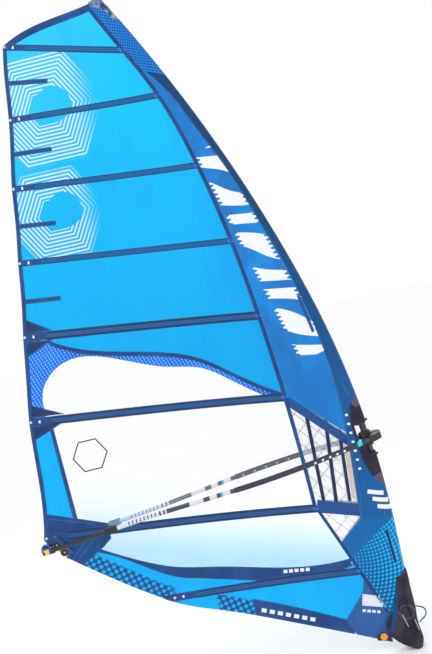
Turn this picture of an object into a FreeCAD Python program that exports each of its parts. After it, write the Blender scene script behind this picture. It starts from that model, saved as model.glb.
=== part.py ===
import FreeCAD, Part
import math
import os
import Sketcher

# A windsurf sail rig: a cambered monofilm sail on a two-piece mast, with a wishbone boom.
# Frame: origin at the mouth of the mast-base socket, +Z up the lower mast, +X forward,
# +Y to port. Lengths are millimetres. The sail's outline is given as (x, z) points.

V = FreeCAD.Vector
Placement = FreeCAD.Placement
Rotation = FreeCAD.Rotation
os.makedirs("parts", exist_ok=True)
doc = FreeCAD.newDocument("windsurf_sail_rig")

# ------------------------------------------------------------------ driving dimensions
DIMENSIONS = {
    "mast_straight": 850,
    "mast_low_bend_radius": 6000,
    "mast_low_bend_angle": 15.75,
    "mast_top_bend_radius": 9450,
    "mast_start": 178,
    "mast_join": 2350,
    "mast_end": 4725,
    "mast_base_radius": 25,
    "mast_join_radius": 20.5,
    "mast_tip_radius": 13,
    "mast_wall": 3,
    "socket_radius": 10.25,
    "socket_depth": 40,
    "tube_radius": 21,
    "tube_wall": 2,
    "collar_radius": 30,
    "collar_height": 30,
    "base_radius": 28,
    "base_height": 62,
    "sheave_radius": 13,
    "sheave_width": 7,
    "sheave_pitch": 9,
    "sheave_axle_radius": 3,
    "film": 2,
    "band": 4,
    "pocket": 10,
    "seam": 14,
    "batten": 5,
    "sleeve_wall": 2,
    "sleeve_half_width": 44,
    "belly": 120,
    "leech_twist": 110,
    "clew_pull": 22.6,
    "boom_rise": 6.8,
    "boom_z": 1431,
    "arm_radius": 15,
    "arm_wall": 1.2,
    "grip_radius": 17.5,
    "grip_length": 900,
    "arm_end": 1800,
    "tail_half_spacing": 90,
    "tail_radius": 13.5,
    "tail_wall": 1.5,
    "tail_tube_length": 640,
    "clamp_inner_radius": 25.5,
    "clamp_outer_radius": 36,
    "clamp_height": 95,
    "pin_radius": 5,
    "head_height": 42,
    "roller_radius": 25,
    "roller_width": 13,
    "rope_radius": 2.5,
    "gap": 0.3,
}
sheet = doc.addObject("Spreadsheet::Sheet", "dims")
for row, (alias, value) in enumerate(DIMENSIONS.items(), start=1):
    sheet.set(f"A{row}", alias)
    sheet.set(f"B{row}", str(value))
    sheet.setAlias(f"B{row}", alias)
doc.recompute()


def dim(expression):
    """The value of an expression in the sheet's aliases."""
    return float(sheet.evalExpression(expression.replace("dims.", "")))


finished = []


def finish(part, label, place=None):
    """Names a sub-part and places it."""
    part.Label = label
    if place is not None:
        part.Placement = place
    finished.append(part)
    return part


def shape_part(label, shape, place=None):
    """A sub-part whose free-form surface comes from Part's own functions."""
    part = doc.addObject("Part::Feature", label + "_shape")
    part.Shape = shape
    return finish(part, label, place)


def cylinder(name, radius, height, place=None):
    part = doc.addObject("Part::Cylinder", name)
    part.setExpression("Radius", radius)
    part.setExpression("Height", height)
    part.Placement = place or Placement()
    return part


def box(name, sizes, place):
    part = doc.addObject("Part::Box", name)
    for key, size in zip(("Length", "Width", "Height"), sizes):
        part.setExpression(key, size)
    part.Placement = place
    return part


def fuse(name, pieces):
    part = doc.addObject("Part::MultiFuse", name)
    part.Shapes = pieces
    return part


def cut(name, base, tools):
    part = doc.addObject("Part::Cut", name)
    part.Base = base
    part.Tool = tools[0] if len(tools) == 1 else fuse(name + "_tools", tools)
    return part


def origin_plane(body, role):
    return next(f for f in body.Origin.OriginFeatures if f.Role == role)


def corner_sketch(body, role, name, corners):
    """A closed polygon whose corners are pairs of sheet expressions."""
    sketch = body.newObject("Sketcher::SketchObject", name)
    sketch.AttachmentSupport = (origin_plane(body, role), [""])
    sketch.MapMode = "FlatFace"
    values = [(dim(a), dim(b)) for a, b in corners]
    count = len(values)
    for i in range(count):
        sketch.addGeometry(Part.LineSegment(V(*values[i], 0), V(*values[(i + 1) % count], 0)))
    for i in range(count):
        sketch.addConstraint(Sketcher.Constraint("Coincident", i, 2, (i + 1) % count, 1))
    for i in range(count):
        for axis, kind in enumerate(("DistanceX", "DistanceY")):
            at = sketch.addConstraint(Sketcher.Constraint(kind, -1, 1, i, 1, values[i][axis]))
            sketch.setExpression(f"Constraints[{at}]", corners[i][axis])
    return sketch


def revolved(name, corners):
    """Corners are (radius, height) pairs of sheet expressions, turned about the height axis."""
    body = doc.addObject("PartDesign::Body", name)
    sketch = corner_sketch(body, "XZ_Plane", name + "_profile", corners)
    turn = body.newObject("PartDesign::Revolution", name + "_turn")
    turn.Profile = sketch
    turn.ReferenceAxis = (sketch, ["V_Axis"])
    turn.Angle = 360
    return body


def padded(name, role, corners, thickness, fillet=None):
    """A flat plate of a corner outline, grown both ways from its plane."""
    body = doc.addObject("PartDesign::Body", name)
    sketch = corner_sketch(body, role, name + "_outline", corners)
    pad = body.newObject("PartDesign::Pad", name + "_pad")
    pad.Profile = sketch
    pad.setExpression("Length", thickness)
    pad.Midplane = True
    if fillet:
        doc.recompute()
        upright = [
            f"Edge{i}"
            for i, edge in enumerate(pad.Shape.Edges, start=1)
            if abs(edge.tangentAt(edge.FirstParameter).dot(plane_normal(role))) > 0.99
        ]
        rounded = body.newObject("PartDesign::Fillet", name + "_fillet")
        rounded.Base = (pad, upright)
        rounded.Radius = fillet
    return body


def plane_normal(role):
    return {"XY_Plane": V(0, 0, 1), "XZ_Plane": V(0, 1, 0), "YZ_Plane": V(1, 0, 0)}[role]


# ------------------------------------------------------------------ the mast's curve
STRAIGHT = dim("mast_straight")
LOW_RADIUS = dim("mast_low_bend_radius")
LOW_ANGLE = math.radians(dim("mast_low_bend_angle"))
TOP_RADIUS = dim("mast_top_bend_radius")
BEND_X = -LOW_RADIUS * (1 - math.cos(LOW_ANGLE))
BEND_Z = STRAIGHT + LOW_RADIUS * math.sin(LOW_ANGLE)


def mast_point(length):
    """x, z and lean (radians aft) of the mast's axis, at a length along it from the socket."""
    if length <= STRAIGHT:
        return 0.0, length, 0.0
    lean = (length - STRAIGHT) / LOW_RADIUS
    if lean <= LOW_ANGLE:
        return -LOW_RADIUS * (1 - math.cos(lean)), STRAIGHT + LOW_RADIUS * math.sin(lean), lean
    lean = LOW_ANGLE + (length - STRAIGHT - LOW_RADIUS * LOW_ANGLE) / TOP_RADIUS
    x = BEND_X - TOP_RADIUS * (math.cos(LOW_ANGLE) - math.cos(lean))
    return x, BEND_Z + TOP_RADIUS * (math.sin(lean) - math.sin(LOW_ANGLE)), lean


def mast_lean(z):
    if z <= STRAIGHT:
        return 0.0
    if z <= BEND_Z:
        return math.asin((z - STRAIGHT) / LOW_RADIUS)
    return math.asin(math.sin(LOW_ANGLE) + (z - BEND_Z) / TOP_RADIUS)


def mast_x(z):
    lean = mast_lean(z)
    if z <= BEND_Z:
        return -LOW_RADIUS * (1 - math.cos(lean))
    return BEND_X - TOP_RADIUS * (math.cos(LOW_ANGLE) - math.cos(lean))


def mast_radius(length):
    start, join, end = dim("mast_start"), dim("mast_join"), dim("mast_end")
    if length <= join:
        share = (length - start) / (join - start)
        return dim("mast_base_radius") * (1 - share) + dim("mast_join_radius") * share
    share = (length - join) / (end - join)
    return dim("mast_join_radius") * (1 - share) + dim("mast_tip_radius") * share


def mast_ring(length, inset):
    """A circle square to the mast, its radius the mast's less an inset."""
    x, z, lean = mast_point(length)
    circle = Part.Circle(V(x, 0, z), V(-math.sin(lean), 0, math.cos(lean)), mast_radius(length) - inset)
    return Part.Wire(circle.toShape())


def mast_loft(start, end, inset, stations=5):
    """A solid along the mast's curve, lofted through a few rings."""
    rings = [mast_ring(start + (end - start) * i / (stations - 1), inset) for i in range(stations)]
    return Part.makeLoft(rings, True, False)


def mast_sweep(start, end, inset, stations=13):
    """The same, swept along the curve: it holds the change from straight to bent that a loft rounds off."""
    points = [mast_point(start + (end - start) * i / (stations - 1)) for i in range(stations)]
    curve = Part.BSplineCurve()
    curve.interpolate([V(x, 0, z) for x, z, _ in points])
    spine = Part.Wire([curve.toShape()])
    return Part.Solid(spine.makePipeShell([mast_ring(start, inset), mast_ring(end, inset)], True, False))


def make_mast():
    start, join, end, wall = (dim(a) for a in ("mast_start", "mast_join", "mast_end", "mast_wall"))
    lower = mast_sweep(start, join, 0).cut(mast_sweep(start - 5, join + 5, wall))
    shape_part("mast_base_section", lower)
    tip_plug = 30
    upper = mast_loft(join + 1, end, 0).cut(mast_loft(join - 5, end - tip_plug, wall))
    shape_part("mast_top_section", upper)
    shape_part("mast_ferrule", mast_loft(join - 160, join + 160, wall + 0.8))


# ------------------------------------------------------------------ the sail's outline
LUFF_SEAM = [
    (-1158, 4550), (-992, 4218), (-847, 3915), (-695, 3416), (-592, 2895),
    (-525, 2368), (-475, 1804), (-442, 1049),
]
LOWER_LUFF_SEAM = [(-442, 1049), (-332, 777), (-128, 256)]
TACK = [(-128, 256), (-149, 48)]
LEECH = [
    (-2249, 1236), (-2196, 1588), (-2165, 2014), (-2120, 2290), (-2074, 2567), (-2030, 2797),
    (-1993, 3046), (-1952, 3285), (-1920, 3525), (-1878, 3744), (-1837, 3963), (-1801, 4240), (-1765, 4436),
]
HEAD = [(-1765, 4436), (-1652, 4482), (-1351, 4530), (-1158, 4550)]
CLEW = [(-2150, 1095), (-2223, 1180), (-2249, 1236)]
FOOT = [
    (-149, 48), (-353, 137), (-650, 260), (-1227, 495), (-1459, 587), (-1596, 669), (-1940, 921),
    (-2150, 1095),
]
BATTENS = [  # leech end, luff-seam end, pocket width
    ((-1766, 4430), (-988, 4217), 40),
    ((-1837, 3963), (-851, 3895), 40),
    ((-1920, 3525), (-698, 3403), 40),
    ((-1993, 3046), (-591, 2879), 40),
    ((-2074, 2567), (-516, 2360), 56),
    ((-2165, 2014), (-480, 1795), 56),
    ((-2242, 1241), (-437, 1025), 56),
    ((-1512, 644), (-254, 559), 50),
]
MINI_BATTENS = [
    ((-1806, 4200), (-1529, 4153)),
    ((-1878, 3744), (-1607, 3724)),
    ((-1952, 3284), (-1693, 3252)),
    ((-2029, 2797), (-1777, 2767)),
]
FRONT_SEAM = [
    (-916, 4077), (-782, 3896), (-662, 3635), (-538, 3360), (-404, 2975), (-335, 2769), (-188, 2147),
    (-147, 1708), (-158, 1296), (-183, 910),
]
SEAM_ABOVE_PLY = [(-1919, 2513), (-1430, 2320), (-954, 2154), (-859, 2085), (-474, 1817)]
PLY_INNER_EDGE = [
    (-2040, 2030), (-1980, 2270), (-1885, 2336), (-1222, 2169), (-967, 2096), (-872, 2032), (-610, 1830),
]
CUTOUT_BACK = [(10, 1744), (-88, 1668), (-106, 1501), (-94, 1360), (-65, 1230), (18, 1112)]

PLAN_Y = -600
DEEP = 1200


def flat_face(*edges):
    """A face in the sail's plane. An edge of two points is straight, a longer one is a smooth curve."""
    made = []
    for points in edges:
        points = [V(x, PLAN_Y, z) for x, z in points]
        if len(points) == 2:
            made.append(Part.LineSegment(*points).toShape())
        else:
            curve = Part.BSplineCurve()
            curve.interpolate(points)
            made.append(curve.toShape())
    return Part.Face(Part.Wire(made))


def polygon(*points):
    wire = Part.makePolygon([V(x, PLAN_Y, z) for x, z in points] + [V(points[0][0], PLAN_Y, points[0][1])])
    return Part.Face(wire)


def strip(start, end, width, grow_start=0.0, grow_end=0.0):
    """A straight band of a width about a line, grown past its ends."""
    along = V(end[0] - start[0], 0, end[1] - start[1]).normalize()
    across = V(-along.z, 0, along.x) * (width / 2)
    a = V(start[0], PLAN_Y, start[1]) - along * grow_start
    b = V(end[0], PLAN_Y, end[1]) + along * grow_end
    return Part.Face(Part.makePolygon([a + across, b + across, b - across, a - across, a + across]))


def band_beside(points, inside):
    """The region between a curve and the same curve moved by (x, z)."""
    moved = [(x + inside[0], z + inside[1]) for x, z in points]
    return flat_face(points, [points[-1], moved[-1]], moved[::-1], [moved[0], points[0]])


def beyond(line, x):
    """The line's end moved along it to an x."""
    (x0, z0), (x1, z1) = line
    return (x, z0 + (z1 - z0) * (x - x0) / (x1 - x0))


def between(upper, lower):
    """The region between two batten lines, run out past the leech and the luff."""
    far, near = -2500, 200
    return polygon(beyond(upper, far), beyond(upper, near), beyond(lower, near), beyond(lower, far))


# ------------------------------------------------------------------ the sail's camber
def leech_x(z):
    return -2249 + 0.1403 * (z - 1236) + 3.4e-6 * (z - 1236) ** 2


def camber(x, z):
    """How far the sail stands to port of the mast's plane."""
    across = max(0.0, (mast_x(z) - x) / (mast_x(z) - leech_x(z)))
    height = z / 4590
    belly = dim("belly") * math.sin(math.pi * (0.09 + 0.86 * height))
    fullness = across * (1 - across) * (1.6 - across) / 0.288
    # the outhaul holds the clew on the boom's centre line
    held = dim("clew_pull") * across**6 * math.exp(-(((z - 1140) / 600) ** 2))
    return belly * fullness + dim("leech_twist") * height**2 * across**2 - held


def sail_surface():
    rows = []
    for i in range(15):
        z = -80 + i * 345
        lean_back = mast_x(z) - leech_x(z)
        row = []
        for k in range(13):
            x = mast_x(z) - lean_back * k * 0.095
            row.append(V(x, camber(x, z), z))
        rows.append(row)
    surface = Part.BSplineSurface()
    surface.interpolate(rows)
    return surface.toShape()


SAIL_SURFACE = sail_surface()


def layer(thickness):
    """The cambered sail as a solid of a thickness, larger than the sail's outline."""
    face = SAIL_SURFACE.copy()
    face.translate(V(0, -thickness / 2, 0))
    return face.extrude(V(0, thickness, 0))


LAYERS = {}
SLIVER = 500  # a cut's leftovers below this volume, in cubic millimetres, are dropped


def on_sail(region, thickness):
    if thickness not in LAYERS:
        LAYERS[thickness] = layer(thickness)
    return region.extrude(V(0, DEEP, 0)).common(LAYERS[thickness])


def solids_of(shape):
    solids = [s for s in shape.Solids if s.Volume > SLIVER]
    return solids[0] if len(solids) == 1 else Part.makeCompound(solids)


CLEW_UPPER = (-2176, 1181)
CLEW_LOWER = (-2137, 1123)


def clew_notch(grow, outward=150):
    """The corner cut out of the clew for the outhaul's pulley block."""
    along = V(CLEW_LOWER[0] - CLEW_UPPER[0], 0, CLEW_LOWER[1] - CLEW_UPPER[1]).normalize()
    inward = V(-along.z, 0, along.x)
    a = V(CLEW_UPPER[0], 0, CLEW_UPPER[1]) - along * (34 + grow) + inward * (31 + grow)
    b = V(CLEW_LOWER[0], 0, CLEW_LOWER[1]) + along * (31 + grow) + inward * (31 + grow)
    c, d = b - inward * outward, a - inward * outward
    return polygon((a.x, a.z), (b.x, b.z), (c.x, c.z), (d.x, d.z))


def make_sail_body():
    sail = flat_face(LUFF_SEAM, *pairs(LOWER_LUFF_SEAM), TACK, FOOT, CLEW, LEECH, HEAD)
    film, band, pocket, seam = (dim(a) for a in ("film", "band", "pocket", "seam"))
    batten_room = dim("batten") + 2
    sail = sail.cut(clew_notch(0))
    lines = [(leech, luff) for leech, luff, _ in BATTENS]

    luff_tape = band_beside(LUFF_SEAM, (-26, 0)).fuse(
        [strip(a, b, 44) for a, b in pairs(LOWER_LUFF_SEAM)]
    ).common(sail)
    channels = []
    pockets = []
    housings = []
    for (leech, luff), (_, _, width) in zip(lines, BATTENS):
        channels.append(on_sail(strip(leech, luff, 24, 60, 70), batten_room))
        end = V(luff[0] - leech[0], 0, luff[1] - leech[1]).normalize() * 46
        stop = (leech[0] + end.x, leech[1] + end.z)
        housing = strip(leech, stop, 34, 60, 0).common(sail)
        housings.append(housing)
        pockets.append(strip(leech, luff, width, 60, 60).common(sail).cut(luff_tape).cut(housing))
    channel = channels[0].multiFuse(channels[1:])

    pocket_solids = [on_sail(p, pocket).cut(channel) for p in pockets]
    shape_part("batten_pockets", Part.makeCompound([solids_of(s) for s in pocket_solids]))

    tensioners, screws, battens = [], [], []
    for (leech, luff), housing in zip(lines, housings):
        along = V(luff[0] - leech[0], 0, luff[1] - leech[1]).normalize()
        start = V(leech[0], camber(*leech), leech[1])
        inner = start + along * 30
        inner.y = camber(inner.x, inner.z)
        heading = (inner - start).normalize()
        bore = Part.makeCylinder(3.3, 90, start - heading * 40, heading)
        tensioners.append(solids_of(on_sail(housing, seam).cut(bore)))
        screws.append(Part.makeCylinder(3, 28, start + heading * 12, heading))
    shape_part("batten_tensioners", Part.makeCompound(tensioners))
    shape_part("tensioner_screws", Part.makeCompound(screws))

    for number, (leech, luff) in enumerate(lines, start=1):
        along = V(luff[0] - leech[0], 0, luff[1] - leech[1]).normalize()
        start = (leech[0] + along.x * 50, leech[1] + along.z * 50)
        reach = 45 if number in (1, 2, 3, 8) else 0
        stop = luff
        if not reach:
            stop = beyond((leech, luff), mast_x(luff[1] + 20) - 84)
        battens.append(solids_of(on_sail(strip(start, stop, 20, 0, reach), dim("batten"))))
    shape_part("full_battens", Part.makeCompound(battens))

    rest = sail.cut(pockets + housings)
    rest = rest.cut(luff_tape)
    luff_solid = on_sail(luff_tape, seam).cut(channel)
    leech_tape = band_beside(LEECH, (27, 0)).common(rest)
    head_tape = band_beside(HEAD, (0, -45)).common(rest).cut(leech_tape)
    rest = rest.cut([leech_tape, head_tape])
    tapes = [luff_solid, on_sail(leech_tape, band), on_sail(head_tape, band)]
    shape_part("edge_tapes", Part.makeCompound([s for t in tapes for s in t.Solids if s.Volume > SLIVER]))

    minis = [strip(a, b, 30, 60, 0).common(rest) for a, b in MINI_BATTENS]
    rest = rest.cut(minis)
    shape_part("mini_battens", Part.makeCompound([solids_of(on_sail(m, 6)) for m in minis]))

    clew_patch = polygon(
        (-2300, 1430), (-2212, 1405), (-1820, 1240), (-1821, 1137), (-1883, 1090), (-2033, 1008), (-2200, 900)
    ).common(rest)
    rest = rest.cut(clew_patch)
    shape_part("clew_patch", solids_of(on_sail(clew_patch, band)))

    tack_panel = polygon((-243, 515), (-271, 416), (-416, 256), (-353, 100), (-353, 0), (100, 0), (100, 515))
    tack_panel = tack_panel.common(rest)
    rest = rest.cut(tack_panel)
    shape_part("tack_panel", solids_of(on_sail(tack_panel, band)))

    seam_over_ply = band_beside(SEAM_ABOVE_PLY, (0, -30)).common(rest)
    lower_band = flat_face(
        [(-1930, 1098), (-1665, 940), (-1452, 846), (-1161, 779), (-785, 688), (-300, 654)],
        [(-300, 654), (-300, 604)],
        [(-300, 604), (-915, 626), (-1180, 698), (-1482, 789), (-1695, 928), (-1930, 1066)],
        [(-1930, 1066), (-1930, 1098)],
    ).common(rest)
    foot_band = flat_face(
        [(-1000, 520), (-586, 340), (-380, 236)],
        [(-380, 236), (-380, 90)],
        [(-380, 90), (-1000, 300)],
        [(-1000, 300), (-1000, 520)],
    ).common(rest)
    rest = rest.cut([seam_over_ply, lower_band, foot_band])
    shape_part("seam_bands", Part.makeCompound(
        [s for r in (seam_over_ply, lower_band, foot_band) for s in on_sail(r, band).Solids if s.Volume > SLIVER]
    ))

    ply = flat_face(
        SEAM_ABOVE_PLY, [(-474, 1817), (-474, 1770)], [(-474, 1770), (-610, 1830)],
        PLY_INNER_EDGE[::-1], [(-2040, 2030), (-2300, 2000)], [(-2300, 2000), (-2300, 2600)],
        [(-2300, 2600), (-1919, 2513)],
    ).common(rest)
    b5_to_b6 = between(lines[4], lines[5]).common(rest)
    panel_5 = flat_face(
        SEAM_ABOVE_PLY, [(-474, 1817), (0, 1500)], [(0, 1500), (0, 2700)], [(0, 2700), (-1919, 2700)],
        [(-1919, 2700), (-1919, 2513)],
    ).common(b5_to_b6)
    ply = ply.common(b5_to_b6).cut(panel_5)
    window_upper = b5_to_b6.cut([panel_5, ply])
    b6_to_b7 = between(lines[5], lines[6]).common(rest)
    leech_strip = polygon((-2400, 2100), (-2030, 2100), (-2030, 1948), (-2037, 1200), (-2400, 1200))
    leech_strip = leech_strip.common(b6_to_b7)
    window_main = b6_to_b7.cut(leech_strip)
    below_b7 = between(lines[6], ((-2500, -500), (200, -500))).common(rest)
    window_lower = flat_face(
        [(-2000, 1140), (-1930, 1080)],
        [(-1930, 1080), (-1695, 928), (-1482, 789), (-1180, 698), (-915, 640), (-300, 620)],
        [(-300, 620), (0, 620)],
        [(0, 620), (0, 1500)], [(0, 1500), (-2000, 1500)], [(-2000, 1500), (-2000, 1140)],
    ).common(below_b7)
    foot_panel = below_b7.cut(window_lower)
    panels = {
        "head_panel": between(((-2500, 4900), (200, 4900)), lines[0]).common(rest),
        "body_panel_1": between(lines[0], lines[1]).common(rest),
        "body_panel_2": between(lines[1], lines[2]).common(rest),
        "body_panel_3": between(lines[2], lines[3]).common(rest),
        "body_panel_4": between(lines[3], lines[4]).common(rest),
        "body_panel_5": panel_5,
        "corner_ply": ply,
        "window_upper": window_upper,
        "window_main": window_main,
        "leech_strip": leech_strip,
        "window_lower": window_lower,
        "foot_panel": foot_panel,
    }
    for label, region in panels.items():
        shape_part(label, solids_of(on_sail(region, film)))


def pairs(points):
    return [[points[i], points[i + 1]] for i in range(len(points) - 1)]


# ------------------------------------------------------------------ the mast sleeve
def seam_x(z):
    """The luff seam's x at a height, joined by straight runs."""
    line = LUFF_SEAM + LOWER_LUFF_SEAM[1:] + TACK[1:]
    for (x1, z1), (x0, z0) in zip(line, line[1:]):
        if z >= z0:
            return x0 + (x1 - x0) * (z - z0) / (z1 - z0)
    return line[-1][0]


def teardrop(z, front, half_width, back_x, back_half):
    """A horizontal section: an ellipse round the mast, drawn out to a blunt end on the sail."""
    centre = mast_x(z)
    stretch = front / math.cos(mast_lean(z))
    walls = []
    for i in range(6):
        share = (6 - i) / 6
        x = centre + (back_x - centre) * share
        half = half_width + (back_half - half_width) * share
        walls.append((x, camber(x, z), half))
    port = [V(x, y + half, z) for x, y, half in walls]
    starboard = [V(x, y - half, z) for x, y, half in walls][::-1]
    nose = []
    for i in range(9):
        turn = math.pi / 2 - math.pi * i / 8
        nose.append(V(centre + stretch * math.cos(turn), half_width * math.sin(turn), z))
    curve = Part.BSplineCurve()
    curve.interpolate(port + nose + starboard)
    return Part.Wire([curve.toShape(), Part.LineSegment(starboard[-1], port[0]).toShape()])


def sleeve_solid(inset):
    """The sleeve's outer solid, or with an inset the room inside it."""
    wires = []
    for z in (150, 400, 700, 950, 1200, 1450, 1700, 2000, 2350, 2700, 3050, 3400, 3750, 4100, 4350, 4480, 4640):
        share = max(0.0, (z - 850) / 3740)
        front = 33 - 10 * share - inset
        half_width = dim("sleeve_half_width") - 24 * share - inset
        back = min(seam_x(z), mast_x(z) - 60) - 60
        wires.append(teardrop(z, front, half_width, back, 5.4 - inset))
    return Part.makeLoft(wires, True, False)


def make_sleeve():
    wall = dim("sleeve_wall")
    outside, room = sleeve_solid(0), sleeve_solid(wall)
    far = 300
    sleeve = flat_face(
        LUFF_SEAM, *pairs(LOWER_LUFF_SEAM), [(-128, 256), (-150, 190)], [(-150, 190), (far, 190)],
        [(far, 190), (far, 4592)], [(far, 4592), (-1083, 4592)], [(-1083, 4592), (-1158, 4550)],
    )
    opening = polygon(
        (mast_x(1340) - 12, 1340), (far, 1340), (far, 1540), (mast_x(1540) - 12, 1540),
        (mast_x(1540) - 12, 1530), (mast_x(1530) - 52, 1530), (mast_x(1400) - 52, 1400), (mast_x(1400) - 12, 1400),
    )
    sleeve = sleeve.cut(opening)
    cap = polygon((-1300, 4640), (-1158, 4546), (-1060, 4480), (-1010, 4400), (-500, 4400), (-500, 4900), (-1300, 4900))
    cap = cap.common(sleeve)
    cutout = flat_face(CUTOUT_BACK, [(18, 1112), (far, 1112)], [(far, 1112), (far, 1744)], [(far, 1744), (10, 1744)])
    cutout = cutout.common(sleeve)
    rest = sleeve.cut([cap, cutout])
    lower = polygon((-800, 0), (-800, 820), (-332, 777), (-183, 910), (far, 850), (far, 0)).common(rest)
    rest = rest.cut(lower)
    aft = flat_face(FRONT_SEAM, [(-183, 910), (-330, 700)], [(-330, 700), (-1300, 700)],
                    [(-1300, 700), (-1300, 4077)], [(-1300, 4077), (-916, 4077)]).common(rest)
    front = rest.cut(aft)
    windows = polygon((-900, 1560), (-470, 1790), (-100, 1450), (-100, 700), (-900, 700)).common(aft)
    sides = aft.cut(windows)

    def sewn(region):
        walls = region.extrude(V(0, DEEP, 0)).common(outside).cut(room)
        solids = [s for s in walls.Solids if s.Volume > SLIVER]
        return sorted(solids, key=lambda s: s.CenterOfMass.y)

    for label, region in (
        ("head_cap", cap), ("sleeve_front", front), ("sleeve_lower", lower),
        ("cutout_cover", cutout), ("sleeve_windows", windows),
    ):
        shape_part(label, Part.makeCompound(sewn(region)))
    walls = sewn(sides)
    shape_part("sleeve_starboard", walls[0])
    shape_part("sleeve_port", walls[-1])


def make_camber_inducers():
    """Forks that cup the back of the mast at the ends of battens 4 to 7."""
    forks = []
    for leech, luff, _ in BATTENS[3:7]:
        z = beyond((leech, luff), mast_x(luff[1]) - 30)[1]
        lean = mast_lean(z)
        up = V(-math.sin(lean), 0, math.cos(lean))
        centre = V(mast_x(z), 0, z)
        radius = mast_radius(z + 60) + 0.5
        cup = Part.makeCylinder(radius + 6, 70, centre - up * 35, up)
        cup = cup.cut(Part.makeCylinder(radius, 90, centre - up * 45, up))
        stem = Part.makeBox(52, 12, 30, V(-radius - 54, -6, -15))
        stem.Placement = Placement(centre, Rotation(V(0, 1, 0), math.degrees(-lean)))
        turn = Rotation(V(0, 1, 0), math.degrees(-lean))
        front = Part.makeBox(80, 120, 120, V(6, -60, -60))
        front.Placement = Placement(centre, turn)
        fork = cup.cut(front).fuse(stem.cut(Part.makeCylinder(radius + 3, 90, centre - up * 45, up)))
        fork = fork.common(sleeve_solid(dim("sleeve_wall") + 0.4))
        forks.append(max(fork.Solids, key=lambda s: s.Volume))
    shape_part("camber_inducers", Part.makeCompound(forks))


# ------------------------------------------------------------------ mast foot
BASE_SHEAVE = V(-44, 0, 46)
TACK_SHEAVE = V(-62, 0, 232)
ALONG_Y = Rotation(V(1, 0, 0), -90)


def make_mast_foot():
    base = cut("base_block", fuse("base_body", [
        cylinder("base_round", "dims.base_radius", "dims.base_height"),
        cylinder("base_spigot", "dims.tube_radius-dims.tube_wall-0.1", "20", Placement(V(0, 0, dim("base_height")), Rotation())),
        box("base_horn", ("34", "36", "40"), Placement(V(-58, -18, 20), Rotation())),
    ]), [
        cylinder("base_socket", "dims.socket_radius", "dims.socket_depth"),
        box("base_slot", ("36", "28", "41"), Placement(V(-62, -14, 27), Rotation())),
        cylinder("base_axle_bore", "dims.sheave_axle_radius+0.05", "60", Placement(BASE_SHEAVE - V(0, 30, 0), ALONG_Y)),
    ])
    finish(base, "extension_base")
    tube = cut("tube_wall_cut", cylinder("tube_outer", "dims.tube_radius", "330"),
               [cylinder("tube_inner", "dims.tube_radius-dims.tube_wall", "330")])
    finish(tube, "extension_tube", Placement(V(0, 0, dim("base_height")), Rotation()))
    collar = cut("collar_cut", cylinder("collar_outer", "dims.collar_radius", "dims.collar_height"),
                 [cylinder("collar_inner", "dims.tube_radius+0.1", "dims.collar_height")])
    top = dim("mast_start") - dim("collar_height")
    finish(collar, "extension_collar", Placement(V(0, 0, top), Rotation()))


SHEAVE_PROFILE = [
    ("dims.sheave_axle_radius+0.05", "-dims.sheave_width/2"), ("dims.sheave_radius", "-dims.sheave_width/2"),
    ("dims.sheave_radius-3", "-1.5"), ("dims.sheave_radius-3", "1.5"),
    ("dims.sheave_radius", "dims.sheave_width/2"), ("dims.sheave_axle_radius+0.05", "dims.sheave_width/2"),
]


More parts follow.
